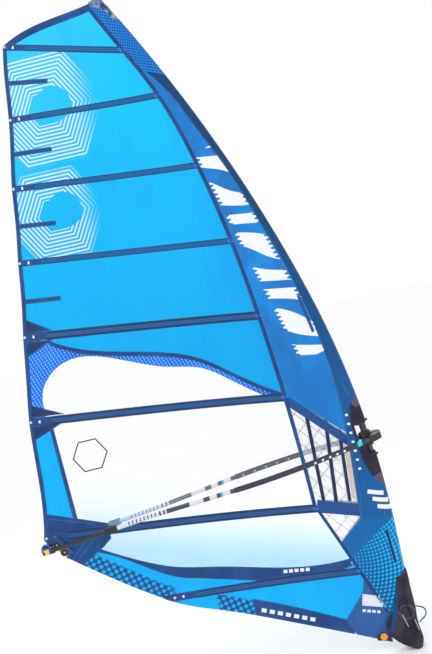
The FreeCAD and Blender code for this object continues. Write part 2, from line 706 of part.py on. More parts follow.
def make_downhaul():
    pitch = dim("sheave_pitch")
    for label, centre in (("base_sheaves", BASE_SHEAVE), ("tack_sheaves", TACK_SHEAVE)):
        wheels = []
        for i in (-1, 0, 1):
            wheel = revolved(f"{label}_{i + 2}", SHEAVE_PROFILE)
            wheel.Placement = Placement(centre + V(0, i * pitch, 0), ALONG_Y)
            wheels.append(wheel)
        doc.recompute()
        group = doc.addObject("Part::Compound", label + "_group")
        group.Links = wheels
        finish(group, label)
    axles = []
    for label, centre in (("base_axle", BASE_SHEAVE), ("tack_axle", TACK_SHEAVE)):
        axles.append(cylinder(label, "dims.sheave_axle_radius", "36",
                              Placement(centre + V(0, -18, 0), ALONG_Y)))
    group = doc.addObject("Part::Compound", "axle_group")
    group.Links = axles
    finish(group, "sheave_axles")
    # the tack block's cheeks are bored for its axle
    cheeks = []
    for side in (-1, 1):
        plate = padded(f"cheek_{side + 2}", "XZ_Plane", [
            ("-17", "-17"), ("17", "-17"), ("14", "34"), ("-14", "34"),
        ], "3", 6)
        plate.Placement = Placement(TACK_SHEAVE + V(0, side * 16.2, 0), Rotation())
        cheeks.append(plate)
    bridge = box("tack_bridge", ("24", "35.4", "16"), Placement(TACK_SHEAVE + V(-12, -17.7, 18), Rotation()))
    block = cut("tack_block_cut", fuse("tack_block_body", [*cheeks, bridge]),
                [cylinder("tack_block_bore", "dims.sheave_axle_radius+0.05", "60",
                          Placement(TACK_SHEAVE + V(0, -30, 0), ALONG_Y))])
    finish(block, "tack_block")

    # the downhaul line: three loops between the two sets of sheaves, each open by a small gap
    radius = dim("sheave_radius") - 3 + dim("rope_radius") + 0.4
    paths = []
    for i in (-1, 0, 1):
        y = i * pitch
        upper = TACK_SHEAVE + V(0, y, 0)
        lower = BASE_SHEAVE + V(0, y, 0)
        tilt = math.atan2(upper.x - lower.x, upper.z - lower.z)
        side = V(math.cos(tilt), 0, -math.sin(tilt)) * radius
        rise = V(math.sin(tilt), 0, math.cos(tilt)) * radius
        loop = Part.Wire([
            Part.LineSegment(lower + side, upper + side).toShape(),
            Part.Arc(upper + side, upper + rise, upper - side).toShape(),
            Part.LineSegment(upper - side, lower - side).toShape(),
            Part.Arc(lower - side, lower - rise, lower + side).toShape(),
        ])
        section = Part.Wire(Part.Circle(lower + side + rise * 3, rise, dim("rope_radius") - 0.5).toShape())
        start = Part.Wire([Part.LineSegment(lower + side + rise * 3, upper + side).toShape(), *loop.Edges[1:],
                           Part.LineSegment(lower + side, lower + side + rise * 2.6).toShape()])
        paths.append(start.makePipeShell([section], True, False, 2))
    shape_part("downhaul_line", Part.makeCompound([solid for p in paths for solid in p.Solids]))

    finish(box("webbing", ("22", "3", "100"), Placement()), "tack_webbing",
           Placement(TACK_SHEAVE + V(-11, -1.5, 34.3), Rotation(V(0, 1, 0), -14)))
    buckle = fuse("buckle_body", [
        box("buckle_block", ("84", "9", "34"), Placement(V(-246, 0, 84), Rotation(V(0, 1, 0), 14))),
        padded("buckle_tab", "XZ_Plane", [("-26", "-6"), ("-16", "-30"), ("16", "-30"), ("26", "-2"), ("0", "24")], "7"),
    ])
    buckle.Shapes[1].Placement = Placement(V(-203, 5, 110), Rotation())
    side = camber(-205, 90)
    finish(buckle, "tack_buckle", Placement(V(0, side - 14.5, 0), Rotation()))


def make_boot():
    """A padded fairing that wraps the foot of the sleeve and the downhaul."""
    outer, inner = [], []
    for z, front in (
        (-12, 36), (20, 50), (60, 54), (110, 47), (180, 42), (250, 46), (340, 44), (430, 42), (515, 40), (560, 40),
    ):
        for inset, wires in ((0, outer), (4, inner)):
            wires.append(teardrop(z, front - inset, 51 - inset, seam_x(z) - 60, 12.4 - inset))
    shell = Part.makeLoft(outer, True, False).cut(Part.makeLoft(inner, True, False)).cut(sleeve_solid(-0.4))
    outline = flat_face(
        [(60, 540), (10, 515), (-40, 488)],
        [(-40, 488), (-60, 420), (-118, 253), (-166, 180), (-165, 125), (-119, 60), (-60, 18), (20, -9)],
        [(20, -9), (100, -9)], [(100, -9), (100, 540)], [(100, 540), (60, 540)],
    )
    solids = outline.extrude(V(0, DEEP, 0)).common(shell).Solids
    shape_part("tack_boot", max(solids, key=lambda s: s.Volume))
    strap = [V(48, 0, 262), V(78, 0, 253), V(106, 0, 230), V(106, 0, 194), V(80, 0, 168), V(50, 0, 150)]
    path, radii = rounded_route(strap)
    section = Part.Wire(Part.Circle(strap[0], strap[1] - strap[0], 4).toShape())
    tube = path.makePipeShell([section], True, False)
    print("pull strap: length", round(path.Length), "radii", [round(r) for r in radii])
    shape_part("boot_strap", tube.Solids[0])


def rounded_route(points):
    """Straight runs joined by tangent arcs, each as large as its two runs allow."""
    edges, radii = [], []
    at = points[0]
    for i in range(1, len(points) - 1):
        before = (points[i - 1] - points[i])
        after = (points[i + 1] - points[i])
        reach = 0.45 * min(before.Length, after.Length)
        turn = math.pi - before.getAngle(after)
        radii.append(reach / math.tan(turn / 2))
        first = points[i] + before.normalize() * reach
        last = points[i] + after.normalize() * reach
        inward = (before + after).normalize()
        middle = points[i] + inward * (radii[-1] / math.cos(turn / 2) - radii[-1])
        edges.append(Part.LineSegment(at, first).toShape())
        edges.append(Part.Arc(first, middle, last).toShape())
        at = last
    edges.append(Part.LineSegment(at, points[-1]).toShape())
    return Part.Wire(edges), radii


# ------------------------------------------------------------------ the boom
# Its parts are made about the mast's axis, +x forward along the boom, and then tipped up.
BOOM_PLACE = Placement(V(mast_x(dim("boom_z")), 0, dim("boom_z")), Rotation(V(0, 1, 0), -dim("boom_rise")))
ARM_START = V(58, 50, 0)
FRONT_ARC, MIDDLE_ARC, BACK_ARC = 1750, 1300, 600
FRONT_TURN, BACK_TURN = math.radians(25), math.radians(10)


def arm_spine(side):
    """The arm's centre line: two arcs out round the sail, a straight, an arc and the straight tail end."""
    apex_y = ARM_START.y + FRONT_ARC * (1 - math.cos(FRONT_TURN))
    apex_x = ARM_START.x - FRONT_ARC * math.sin(FRONT_TURN)
    front_centre = V(apex_x, apex_y - FRONT_ARC, 0)
    middle_centre = V(apex_x, apex_y - MIDDLE_ARC, 0)
    quarter = math.pi / 2
    front = Part.ArcOfCircle(Part.Circle(front_centre, V(0, 0, 1), FRONT_ARC), quarter - FRONT_TURN, quarter)
    middle = Part.ArcOfCircle(Part.Circle(middle_centre, V(0, 0, 1), MIDDLE_ARC), quarter, quarter + BACK_TURN)
    start_run = middle_centre + V(-math.sin(BACK_TURN), math.cos(BACK_TURN), 0) * MIDDLE_ARC
    drop = start_run.y - dim("tail_half_spacing") - BACK_ARC * (1 - math.cos(BACK_TURN))
    end_run = start_run + V(-math.cos(BACK_TURN), -math.sin(BACK_TURN), 0) * (drop / math.sin(BACK_TURN))
    back_centre = end_run + V(-math.sin(BACK_TURN), math.cos(BACK_TURN), 0) * BACK_ARC
    back = Part.ArcOfCircle(Part.Circle(back_centre, V(0, 0, 1), BACK_ARC), 3 * quarter, 3 * quarter + BACK_TURN)
    last = V(back_centre.x, dim("tail_half_spacing"), 0)
    pieces = [front, middle, Part.LineSegment(start_run, end_run), back,
              Part.LineSegment(last, V(-dim("arm_end"), last.y, 0))]
    if side < 0:
        for piece in pieces:
            piece.mirror(V(0, 0, 0), V(1, 0, 0))
    return pieces


def swept_tube(name, spine_pieces, outer, inner):
    """A PartDesign pipe of a ring along a spine in the boom's plane."""
    body = doc.addObject("PartDesign::Body", name)
    spine = body.newObject("Sketcher::SketchObject", name + "_spine")
    spine.AttachmentSupport = (origin_plane(body, "XY_Plane"), [""])
    spine.MapMode = "FlatFace"
    for piece in spine_pieces:
        spine.addGeometry(piece)
    wire = Part.Wire(Part.__sortEdges__([p.toShape() for p in spine_pieces]))
    start = wire.OrderedVertexes[0].Point
    heading = wire.OrderedEdges[0].tangentAt(wire.OrderedEdges[0].FirstParameter)
    ring = body.newObject("Sketcher::SketchObject", name + "_ring")
    ring.Placement = Placement(start, Rotation(V(0, 0, 1), heading))
    for geometry, radius in enumerate((outer, inner)):
        ring.addGeometry(Part.Circle(V(0, 0, 0), V(0, 0, 1), dim(radius)))
        at = ring.addConstraint(Sketcher.Constraint("Radius", geometry, dim(radius)))
        ring.setExpression(f"Constraints[{at}]", radius)
    pipe = body.newObject("PartDesign::AdditivePipe", name + "_pipe")
    pipe.Profile = ring
    pipe.Spine = spine
    return body


def grip_spine(side):
    """The gripped stretch of an arm, from behind the head fitting."""
    front, middle = arm_spine(1)[:2]
    quarter = math.pi / 2
    reach = dim("grip_length") - (FRONT_TURN - math.radians(3)) * FRONT_ARC
    pieces = [
        Part.ArcOfCircle(Part.Circle(front.Center, V(0, 0, 1), FRONT_ARC), quarter - FRONT_TURN + math.radians(3), quarter),
        Part.ArcOfCircle(Part.Circle(middle.Center, V(0, 0, 1), MIDDLE_ARC), quarter, quarter + reach / MIDDLE_ARC),
    ]
    if side < 0:
        for piece in pieces:
            piece.mirror(V(0, 0, 0), V(1, 0, 0))
    return pieces


def make_boom():
    grips = []
    for side, label in ((1, "port"), (-1, "starboard")):
        arm = swept_tube(f"arm_{label}", arm_spine(side), "dims.arm_radius", "dims.arm_radius-dims.arm_wall")
        finish(arm, f"boom_arm_{label}", BOOM_PLACE)
        grip = swept_tube(f"grip_{label}", grip_spine(side), "dims.grip_radius", "dims.arm_radius+0.05")
        grip.Placement = BOOM_PLACE
        grips.append(grip)
    doc.recompute()
    group = doc.addObject("Part::Compound", "grip_group")
    group.Links = grips
    finish(group, "boom_grips")

    # the head casting: a yoke in front of the mast, with a socket for each arm and a slot for the clamp's lug
    yoke = padded("yoke", "XY_Plane", [
        ("44", "-22"), ("44", "22"), ("22", "46"), ("6", "62"), ("14", "92"), ("58", "76"), ("90", "44"),
        ("97", "16"), ("97", "-16"), ("90", "-44"), ("58", "-76"), ("14", "-92"), ("6", "-62"), ("22", "-46"),
    ], "dims.head_height", 7)
    bores = []
    for side in (-1, 1):
        heading = Rotation(V(0, 0, 1), V(-math.cos(FRONT_TURN), side * math.sin(FRONT_TURN), 0))
        start = V(ARM_START.x + 0.2, side * ARM_START.y, 0)
        bores.append(cylinder(f"arm_bore_{side + 2}", "dims.arm_radius+0.9", "140", Placement(start, heading)))
    bores.append(box("lug_slot", ("50", "29", "60"), Placement(V(30, -14.5, -30), Rotation())))
    bores.append(cylinder("yoke_pin_bore", "dims.pin_radius", "92", Placement(V(64, -46, 0), ALONG_Y)))
    finish(cut("yoke_cut", yoke, bores), "boom_front_end", BOOM_PLACE)
    finish(cylinder("pivot_pin", "dims.pin_radius", "88"), "head_pivot_pin",
           BOOM_PLACE.multiply(Placement(V(64, -44, 0), ALONG_Y)))

    # tail: two tubes that slide in the arms, joined by a moulded end with the outhaul roller
    tail_tubes = []
    for side in (-1, 1):
        start = V(-dim("arm_end") + 200, side * dim("tail_half_spacing"), 0)
        place = Placement(start, Rotation(V(0, 0, 1), V(-1, 0, 0)))
        tube = cut(f"tail_tube_{side + 2}", cylinder(f"tail_outer_{side + 2}", "dims.tail_radius", "dims.tail_tube_length"),
                   [cylinder(f"tail_inner_{side + 2}", "dims.tail_radius-dims.tail_wall", "dims.tail_tube_length")])
        tube.Placement = place
        tail_tubes.append(tube)
    doc.recompute()
    group = doc.addObject("Part::Compound", "tail_tube_group")
    group.Links = tail_tubes
    finish(group, "boom_tail", BOOM_PLACE)

    end = padded("tail_end", "XY_Plane", [
        ("-2165", "-107"), ("-2225", "-107"), ("-2252", "-88"), ("-2262", "-50"), ("-2262", "50"), ("-2252", "88"),
        ("-2225", "107"), ("-2165", "107"), ("-2165", "73"), ("-2210", "73"), ("-2222", "58"), ("-2222", "-58"),
        ("-2210", "-73"), ("-2165", "-73"),
    ], "34", 6)
    plugs, cheeks = [], []
    for side in (-1, 1):
        start = V(-2166, side * dim("tail_half_spacing"), 0)
        cheeks.append(box(f"anchor_plate_{side + 2}", ("20", "7", "34"),
                          Placement(V(-2232, side * 11.5 - 3.5, -34), Rotation())))
        plugs.append(cylinder(f"tail_bore_{side + 2}", "dims.tail_radius+0.05", "77",
                              Placement(start + V(2, 0, 0), Rotation(V(0, 0, 1), V(-1, 0, 0)))))
        cheeks.append(cylinder(f"roller_cheek_{side + 2}", "27", "7",
                               Placement(V(-2243, side * 11.5 - 3.5, 6), ALONG_Y)))
    tail_end = cut("tail_end_cut", fuse("tail_end_fuse", [end, *cheeks]), [
        *plugs,
        box("roller_slot", ("100", "16", "80"), Placement(V(-2290, -8, -40), Rotation())),
        cylinder("roller_axle_bore", "4.05", "80", Placement(V(-2243, -40, 6), ALONG_Y)),
    ])
    tail_end = fuse("tail_end_axle_fuse", [
        tail_end,
        cylinder("roller_axle", "4.05", "40", Placement(V(-2243, -20, 6), ALONG_Y)),
        cylinder("rope_anchor", "5", "26", Placement(V(-2222, -13, -27), ALONG_Y)),
    ])
    finish(tail_end, "tail_end_fitting", BOOM_PLACE)
    roller = revolved("tail_roller_body", [
        ("4.15", "-dims.roller_width/2"), ("dims.roller_radius", "-dims.roller_width/2"), ("dims.roller_radius-6", "-2.5"),
        ("dims.roller_radius-6", "2.5"), ("dims.roller_radius", "dims.roller_width/2"), ("4.15", "dims.roller_width/2"),
    ])
    finish(roller, "tail_roller", BOOM_PLACE.multiply(Placement(V(-2243, 0, 6), ALONG_Y)))

    collars = []
    for side in (-1, 1):
        place = Placement(V(-1728, side * dim("tail_half_spacing"), 0), Rotation(V(0, 0, 1), V(-1, 0, 0)))
        collar = cut(f"collar_{side + 2}", cylinder(f"collar_solid_{side + 2}", "22", "76"),
                     [cylinder(f"collar_room_{side + 2}", "dims.arm_radius+0.05", "73"),
                      cylinder(f"collar_lip_{side + 2}", "dims.tail_radius+dims.gap", "90"),
                      box(f"lever_seat_{side + 2}", ("50", "8", "90"),
                          Placement(V(-25, side * 17.5 - (8 if side < 0 else 0), -5), Rotation()))])
        collar.Placement = place
        collars.append(collar)
    doc.recompute()
    group = doc.addObject("Part::Compound", "collar_group")
    group.Links = collars
    finish(group, "tail_collars", BOOM_PLACE)
    for side, label in ((1, "port"), (-1, "starboard")):
        outer = side * (dim("tail_half_spacing") + 17.9)
        plate = padded(f"lock_plate_{label}", "XY_Plane", [
            ("-1738", str(outer)), ("-1800", str(outer)), ("-1812", str(outer + side * 3)),
            ("-1812", str(outer + side * 6)), ("-1738", str(outer + side * 6)),
        ], "20")
        barrel = cylinder(f"lock_barrel_{label}", "3", "20", Placement(V(-1736, outer + side * 3, -10), Rotation()))
        finish(fuse(f"lock_{label}", [plate, barrel]), f"tail_lock_{label}", BOOM_PLACE)


def make_clamp():
    """The head clamp round the mast, its lug and its cam lever."""
    lean = mast_lean(dim("boom_z"))
    place = Placement(BOOM_PLACE.Base, Rotation(V(0, 1, 0), -math.degrees(lean)))
    half = dim("clamp_height") / 2
    relative = dim("boom_rise") - math.degrees(lean)
    to_boom = Placement(V(0, 0, 0), Rotation(V(0, 1, 0), -relative))
    lug = box("clamp_lug", ("45", "28", "36"), to_boom.multiply(Placement(V(28, -14, -18), Rotation())))
    lever_pivot = V(24, 41, 0)
    ears, webs = [], []
    for number, z in enumerate((24.4, 42.6)):
        ears.append(cylinder(f"lever_ear_{number}", "9", "3", Placement(lever_pivot + V(0, 0, z), Rotation())))
        webs.append(box(f"ear_web_{number}", ("18", "16", "3"), Placement(V(15, 25, z), Rotation())))
    ring = cut("clamp_cut", fuse("clamp_fuse", [
        cylinder("clamp_ring", "dims.clamp_outer_radius", "dims.clamp_height", Placement(V(0, 0, -half), Rotation())),
        lug, *ears, *webs,
    ]), [
        cylinder("clamp_bore", "dims.clamp_inner_radius", "dims.clamp_height+2", Placement(V(0, 0, -half - 1), Rotation())),
        cylinder("lug_bore", "dims.pin_radius+0.05", "60", to_boom.multiply(Placement(V(64, -30, 0), ALONG_Y))),
        box("clamp_split", ("20", "6", "120"), Placement(V(-44, -3, -60), Rotation())),
    ])
    finish(ring, "head_clamp", place)
    # the lever wraps the clamp's port side at rest
    sweep = []
    for i in range(6):
        angle = math.radians(78 + i * 16)
        sweep.append((angle, 47, 38.5))
    outer = [V(r * math.cos(a), r * math.sin(a), 0) for a, r, _ in sweep]
    inner = [V(r * math.cos(a), r * math.sin(a), 0) for a, _, r in sweep][::-1]
    plate = Part.Face(Part.makePolygon(outer + inner + [outer[0]]))
    handle = plate.extrude(V(0, 0, 14))
    handle.translate(V(0, 0, 28))
    boss = Part.makeCylinder(8, 14, lever_pivot + V(0, 0, 28))
    link = Part.makeBox(20, 9, 14, V(6, 38.4, 28))
    lever = handle.fuse([boss, link]).cut(Part.makeCylinder(36.4, 60, V(0, 0, 0)))
    lever = lever.removeSplitter()
    lever.Placement = place
    shape_part("clamp_lever", lever.Solids[0])


def touch(centre, other, offset, radius, side):
    """Where a line towards another point leaves a circle, on the side that a turn of +1 or -1 names."""
    reach = other - centre
    turn = Rotation(V(0, 1, 0), math.degrees(side * math.acos(offset / reach.Length)))
    return centre + turn.multVec(reach).normalize() * radius


def make_outhaul():
    """The clew's pulley block and roller, and the line between it and the tail."""
    upper = V(CLEW_UPPER[0], 0, CLEW_UPPER[1])
    lower = V(CLEW_LOWER[0], 0, CLEW_LOWER[1])
    axis = V(0, 1, 0)
    along = (lower - upper).normalize()
    across = along.cross(axis) * 15
    pieces = []
    for offset in (-12, 9):
        a, b = upper + V(0, offset, 0), lower + V(0, offset, 0)
        strap = Part.Face(Part.makePolygon([a + across, b + across, b - across, a - across, a + across]))
        pieces += [strap.extrude(V(0, 3, 0)), Part.makeCylinder(24, 3, a, axis), Part.makeCylinder(27, 3, b, axis)]
    pieces.append(Part.makeCylinder(11, 20, upper + V(0, -10, 0), axis))
    pieces.append(Part.makeCylinder(4, 20, lower + V(0, -10, 0), axis))
    # a flange grips the edge of the clew patch on both sides
    flange = clew_notch(14, 62).cut(clew_notch(-0.4))
    flange.translate(V(0, -PLAN_Y - 12, 0))
    flange = flange.extrude(V(0, 24, 0)).cut(on_sail(clew_notch(40), dim("band") + 0.2))
    inner_half = clew_notch(14, 46).cut(clew_notch(-9))
    inner_half.translate(V(0, -PLAN_Y - 12, 0))
    for offset in (0, 21):
        web = inner_half.copy()
        web.translate(V(0, offset, 0))
        pieces.append(web.extrude(V(0, 3, 0)))
    leech, luff, width = BATTENS[6]
    sail_room = on_sail(clew_notch(70, 260).cut(clew_notch(-0.4)), dim("band") + 0.6)
    pocket_room = on_sail(strip(leech, luff, width + 1, 60, 60).cut(clew_notch(-0.4)), dim("seam") + 0.8)
    block = pieces[0].fuse(pieces[1:] + [flange]).cut([sail_room, pocket_room]).removeSplitter()
    print("clew block: solids", len(block.Solids))
    shape_part("clew_block", max(block.Solids, key=lambda s: s.Volume))
    roller = revolved("clew_roller_body", [
        ("4.1", "-6.5"), ("20", "-6.5"), ("15", "-2.6"), ("15", "2.6"), ("20", "6.5"), ("4.1", "6.5"),
    ])
    finish(roller, "clew_roller", Placement(lower, ALONG_Y))

    rope = dim("rope_radius")
    tail = BOOM_PLACE.multVec(V(-2243, 0, 6))
    clew = V(lower.x, 0, lower.z)
    tail_wrap = dim("roller_radius") - 6 + rope + 0.3
    clew_wrap = 15 + rope + 0.3
    start = upper + V(-11.9, 0, 5.0)
    end = BOOM_PLACE.multVec(V(-2216.8, 0, -27.5))
    on_top = touch(tail, start, tail_wrap, tail_wrap, 1)
    under = touch(tail, clew, tail_wrap + clew_wrap, tail_wrap, -1)
    over_clew = clew - (under - tail) * (clew_wrap / tail_wrap)
    below_clew = touch(clew, end, clew_wrap, clew_wrap, 1)
    aft = (tail - clew).normalize()
    route = Part.Wire([
        Part.LineSegment(start, on_top).toShape(),
        Part.Arc(on_top, tail + aft * tail_wrap, under).toShape(),
        Part.LineSegment(under, over_clew).toShape(),
        Part.Arc(over_clew, clew - aft * clew_wrap, below_clew).toShape(),
        Part.LineSegment(below_clew, end).toShape(),
    ])
    section = Part.Wire(Part.Circle(start, on_top - start, rope - 0.3).toShape())
    line = route.makePipeShell([section], True, False)
    print("outhaul line: length", round(route.Length), "clew stands off", round(camber(-2137, 1123), 2))
    shape_part("outhaul_line", max(line.Solids, key=lambda s: s.Volume))


make_mast()
make_mast_foot()
make_downhaul()
make_boot()
make_sail_body()
make_sleeve()
make_camber_inducers()
make_boom()
make_clamp()
make_outhaul()
doc.recompute()

# ------------------------------------------------------------------ checks and output
for thing in doc.Objects:
    if "Invalid" in thing.State or "Error" in thing.State:
        raise RuntimeError(f"{thing.Name} failed: {thing.State}")
failed = [p.Label for p in finished if p.Shape.isNull() or not p.Shape.isValid() or not p.Shape.Solids]
if failed:
    raise RuntimeError(f"not valid solids: {failed}")
for part in finished:
    part.Shape.exportStep(f"parts/{part.Label}.step")
print(len(finished), "sub-parts written")
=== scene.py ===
import math
from functools import partialmethod

import bmesh
import bpy
import numpy as np
from mathutils import Matrix, Vector
from mathutils.bvhtree import BVHTree
from mathutils.geometry import delaunay_2d_cdt


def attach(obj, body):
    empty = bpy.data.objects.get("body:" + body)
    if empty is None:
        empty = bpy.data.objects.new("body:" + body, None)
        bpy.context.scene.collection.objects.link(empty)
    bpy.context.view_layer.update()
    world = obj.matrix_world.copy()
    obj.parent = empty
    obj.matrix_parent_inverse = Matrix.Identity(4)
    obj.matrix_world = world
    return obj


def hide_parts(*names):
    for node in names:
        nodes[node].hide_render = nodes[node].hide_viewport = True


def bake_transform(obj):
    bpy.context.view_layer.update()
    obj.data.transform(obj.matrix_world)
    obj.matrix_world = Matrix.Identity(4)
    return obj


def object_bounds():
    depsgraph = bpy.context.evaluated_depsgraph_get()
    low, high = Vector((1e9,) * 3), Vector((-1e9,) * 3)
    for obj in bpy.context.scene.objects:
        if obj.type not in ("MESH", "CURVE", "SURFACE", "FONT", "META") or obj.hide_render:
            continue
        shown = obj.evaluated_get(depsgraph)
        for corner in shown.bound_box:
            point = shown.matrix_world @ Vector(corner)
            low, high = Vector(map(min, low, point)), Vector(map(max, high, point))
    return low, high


# A windsurf sail rig: printed films and cloths on a cambered sail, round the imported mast, boom and fittings.
# Frame, in metres: origin at the mouth of the mast-base socket, +Z up the lower mast, +X forward, +Y to port.

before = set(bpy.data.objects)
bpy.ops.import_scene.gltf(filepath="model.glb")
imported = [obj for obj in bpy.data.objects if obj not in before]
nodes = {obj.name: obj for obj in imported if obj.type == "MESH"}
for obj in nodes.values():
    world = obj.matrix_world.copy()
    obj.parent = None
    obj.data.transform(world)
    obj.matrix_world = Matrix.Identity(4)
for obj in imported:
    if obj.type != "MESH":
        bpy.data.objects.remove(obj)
cad_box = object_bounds()
scene = bpy.context.scene


# -------------------- camera
TARGET = Vector((-0.823, 0.0, 2.358))
DISTANCE = 7.0
ROLL, RAISE, TURN = math.radians(13.0), math.radians(4.7), math.radians(1.3)


def make_camera():
    data = bpy.data.cameras.new("camera")
    data.lens = 59.3
    data.sensor_width = 36.0
    data.clip_end = 100.0
    camera = bpy.data.objects.new("camera", data)
    scene.collection.objects.link(camera)
    up = Vector((math.sin(ROLL), 0.0, math.cos(ROLL)))
    right = Vector((0.0, 1.0, 0.0)).cross(up).normalized()
    back = Vector((0.0, -1.0, 0.0)) * math.cos(RAISE) + up * math.sin(RAISE) + right * math.sin(TURN)
    back.normalize()
    right = up.cross(back).normalized()
    up = back.cross(right).normalized()
    camera.matrix_world = Matrix((
        (right.x, up.x, back.x, TARGET.x + back.x * DISTANCE),
        (right.y, up.y, back.y, TARGET.y + back.y * DISTANCE),
        (right.z, up.z, back.z, TARGET.z + back.z * DISTANCE),
        (0, 0, 0, 1),
    ))
    scene.camera = camera
    scene.view_settings.view_transform = "Standard"


make_camera()


# -------------------- the sail's curve, in metres
def mast_x(z):
    if z <= 0.85:
        return 0.0
    if z <= 2.4786:
        return -6.0 * (1 - math.sqrt(1 - ((z - 0.85) / 6.0) ** 2))
    sine = math.sin(math.radians(15.75)) + (z - 2.4786) / 9.45
    return -0.2253 - 9.45 * (math.cos(math.radians(15.75)) - math.sqrt(1 - sine * sine))


def leech_x(z):
    return -2.249 + 0.1403 * (z - 1.236) + 0.0034 * (z - 1.236) ** 2


def camber(x, z):
    """How far the sail stands to port of the mast's plane."""
    across = max(0.0, (mast_x(z) - x) / (mast_x(z) - leech_x(z)))
    height = z / 4.59
    belly = 0.12 * math.sin(math.pi * (0.09 + 0.86 * height))
    fullness = across * (1 - across) * (1.6 - across) / 0.288
    held = 0.0226 * across**6 * math.exp(-(((z - 1.14) / 0.6) ** 2))
    return belly * fullness + 0.11 * height**2 * across**2 - held


# -------------------- shading helpers
def linear(*rgb):
    """A linear colour from 0 to 255 display values."""
    out = [c / 255 / 12.92 if c / 255 <= 0.04045 else ((c / 255 + 0.055) / 1.055) ** 2.4 for c in rgb]
    return (*out, 1.0)


class Shade:
    """A Principled material whose numbers are made from node arithmetic on the row frame's coordinates."""

    def __init__(self, name, roughness=0.5, alpha=1.0, **constants):
        self.material = bpy.data.materials.new(name)
        self.material.use_nodes = True
        self.tree = self.material.node_tree
        self.shader = self.tree.nodes["Principled BSDF"]
        self.shader.inputs["Roughness"].default_value = roughness
        self.shader.inputs["Alpha"].default_value = alpha
        for key, value in constants.items():
            self.shader.inputs[key.replace("_", " ").title().replace("Ior", "IOR")].default_value = value
        coordinates = self.tree.nodes.new("ShaderNodeTexCoord")
        split = self.tree.nodes.new("ShaderNodeSeparateXYZ")
        self.place = coordinates.outputs["Object"]
        self.tree.links.new(self.place, split.inputs[0])
        self.x, self.y, self.z = split.outputs

    def join(self, value, socket):
        if isinstance(value, (int, float, tuple)):
            socket.default_value = value
        else:
            self.tree.links.new(value, socket)

    def math(self, operation, *values):
        node = self.tree.nodes.new("ShaderNodeMath")
        node.operation = operation
        for value, socket in zip(values, node.inputs):
            self.join(value, socket)
        return node.outputs[0]

    add = partialmethod(math, "ADD")
    sub = partialmethod(math, "SUBTRACT")
    mul = partialmethod(math, "MULTIPLY")
    less = partialmethod(math, "LESS_THAN")
    more = partialmethod(math, "GREATER_THAN")
    sine = partialmethod(math, "SINE")
    fract = partialmethod(math, "FRACT")
    absolute = partialmethod(math, "ABSOLUTE")
    root = partialmethod(math, "SQRT")

    def between(self, value, low, high):
        return self.mul(self.more(value, low), self.less(value, high))

    def step(self, low, high, value):
        """0 below low, 1 above high, smooth between."""
        node = self.tree.nodes.new("ShaderNodeMapRange")
        node.interpolation_type = "SMOOTHSTEP"
        self.join(value, node.inputs["Value"])
        node.inputs["From Min"].default_value = low
        node.inputs["From Max"].default_value = high
        return node.outputs["Result"]

    def noise(self, scale, detail=3.0, stretch=(1, 1, 1)):
        mapping = self.tree.nodes.new("ShaderNodeMapping")
        mapping.inputs["Scale"].default_value = stretch
        self.tree.links.new(self.place, mapping.inputs["Vector"])
        node = self.tree.nodes.new("ShaderNodeTexNoise")
        node.inputs["Scale"].default_value = scale
        node.inputs["Detail"].default_value = detail
        self.tree.links.new(mapping.outputs[0], node.inputs["Vector"])
        return node.outputs["Fac"]

    def mix(self, share, a, b):
        node = self.tree.nodes.new("ShaderNodeMix")
        node.data_type = "RGBA"
        self.join(share, node.inputs["Factor"])
        for value, socket in ((a, node.inputs[6]), (b, node.inputs[7])):
            self.join(value, socket)
        return node.outputs[2]

    def bump(self, height, depth, strength=0.5):
        node = self.tree.nodes.new("ShaderNodeBump")
        node.inputs["Strength"].default_value = strength
        node.inputs["Distance"].default_value = depth
        self.join(height, node.inputs["Height"])
        self.tree.links.new(node.outputs[0], self.shader.inputs["Normal"])

    def finish(self, colour, height=None, depth=0.0, strength=0.5, alpha=None):
        """Sets the colour, how much shows and the bump, and gives the material."""
        self.join(colour, self.shader.inputs["Base Color"])
        if alpha is not None:
            self.join(alpha, self.shader.inputs["Alpha"])
        if height is not None:
            self.bump(height, depth, strength)
        return self.material

    def lattice(self, pitch, slant=0.0):
        """Peaks and hollows at that pitch in the sail's plane, both ways, their rows leaning by the slant."""
        across = self.add(self.x, self.mul(self.z, slant))
        up = self.sub(self.z, self.mul(self.x, slant))
        turns = 2 * math.pi / pitch
        return self.mul(self.sine(self.mul(across, turns)), self.sine(self.mul(up, turns)))

    def ramp_line(self, point_a, point_b):
        """0 at point_a, 1 at point_b, straight between them in the sail's plane."""
        (ax, az), (bx, bz) = point_a, point_b
        dx, dz = bx - ax, bz - az
        size = dx * dx + dz * dz
        return self.add(self.mul(self.sub(self.x, ax), dx / size), self.mul(self.sub(self.z, az), dz / size))

    def offset(self, point_a, point_b):
        """Signed distance from the straight line through two points, positive to the left of its run."""
        (ax, az), (bx, bz) = point_a, point_b
        size = math.dist(point_a, point_b)
        return self.add(self.mul(self.sub(self.x, ax), (az - bz) / size),
                        self.mul(self.sub(self.z, az), (bx - ax) / size))

    def line(self, point_a, point_b, half_width, soft=0.0015):
        """1 on the straight line from point_a to point_b, that wide to each side."""
        beside = self.absolute(self.offset(point_a, point_b))
        across = self.step(half_width + soft, half_width - soft, beside)
        share = self.ramp_line(point_a, point_b)
        return self.mul(across, self.between(share, 0.0, 1.0))

    def dashes(self, point_a, point_b, half_width, count, filled=0.5):
        """The line from point_a to point_b, broken into equal dashes."""
        phase = self.fract(self.mul(self.ramp_line(point_a, point_b), count))
        return self.mul(self.line(point_a, point_b, half_width), self.less(phase, filled))

    def disc(self, centre, radius, soft=0.002):
        dx = self.sub(self.x, centre[0])
        dz = self.sub(self.z, centre[1])
        far = self.root(self.add(self.mul(dx, dx), self.mul(dz, dz)))
        return self.step(radius + soft, radius - soft, far)

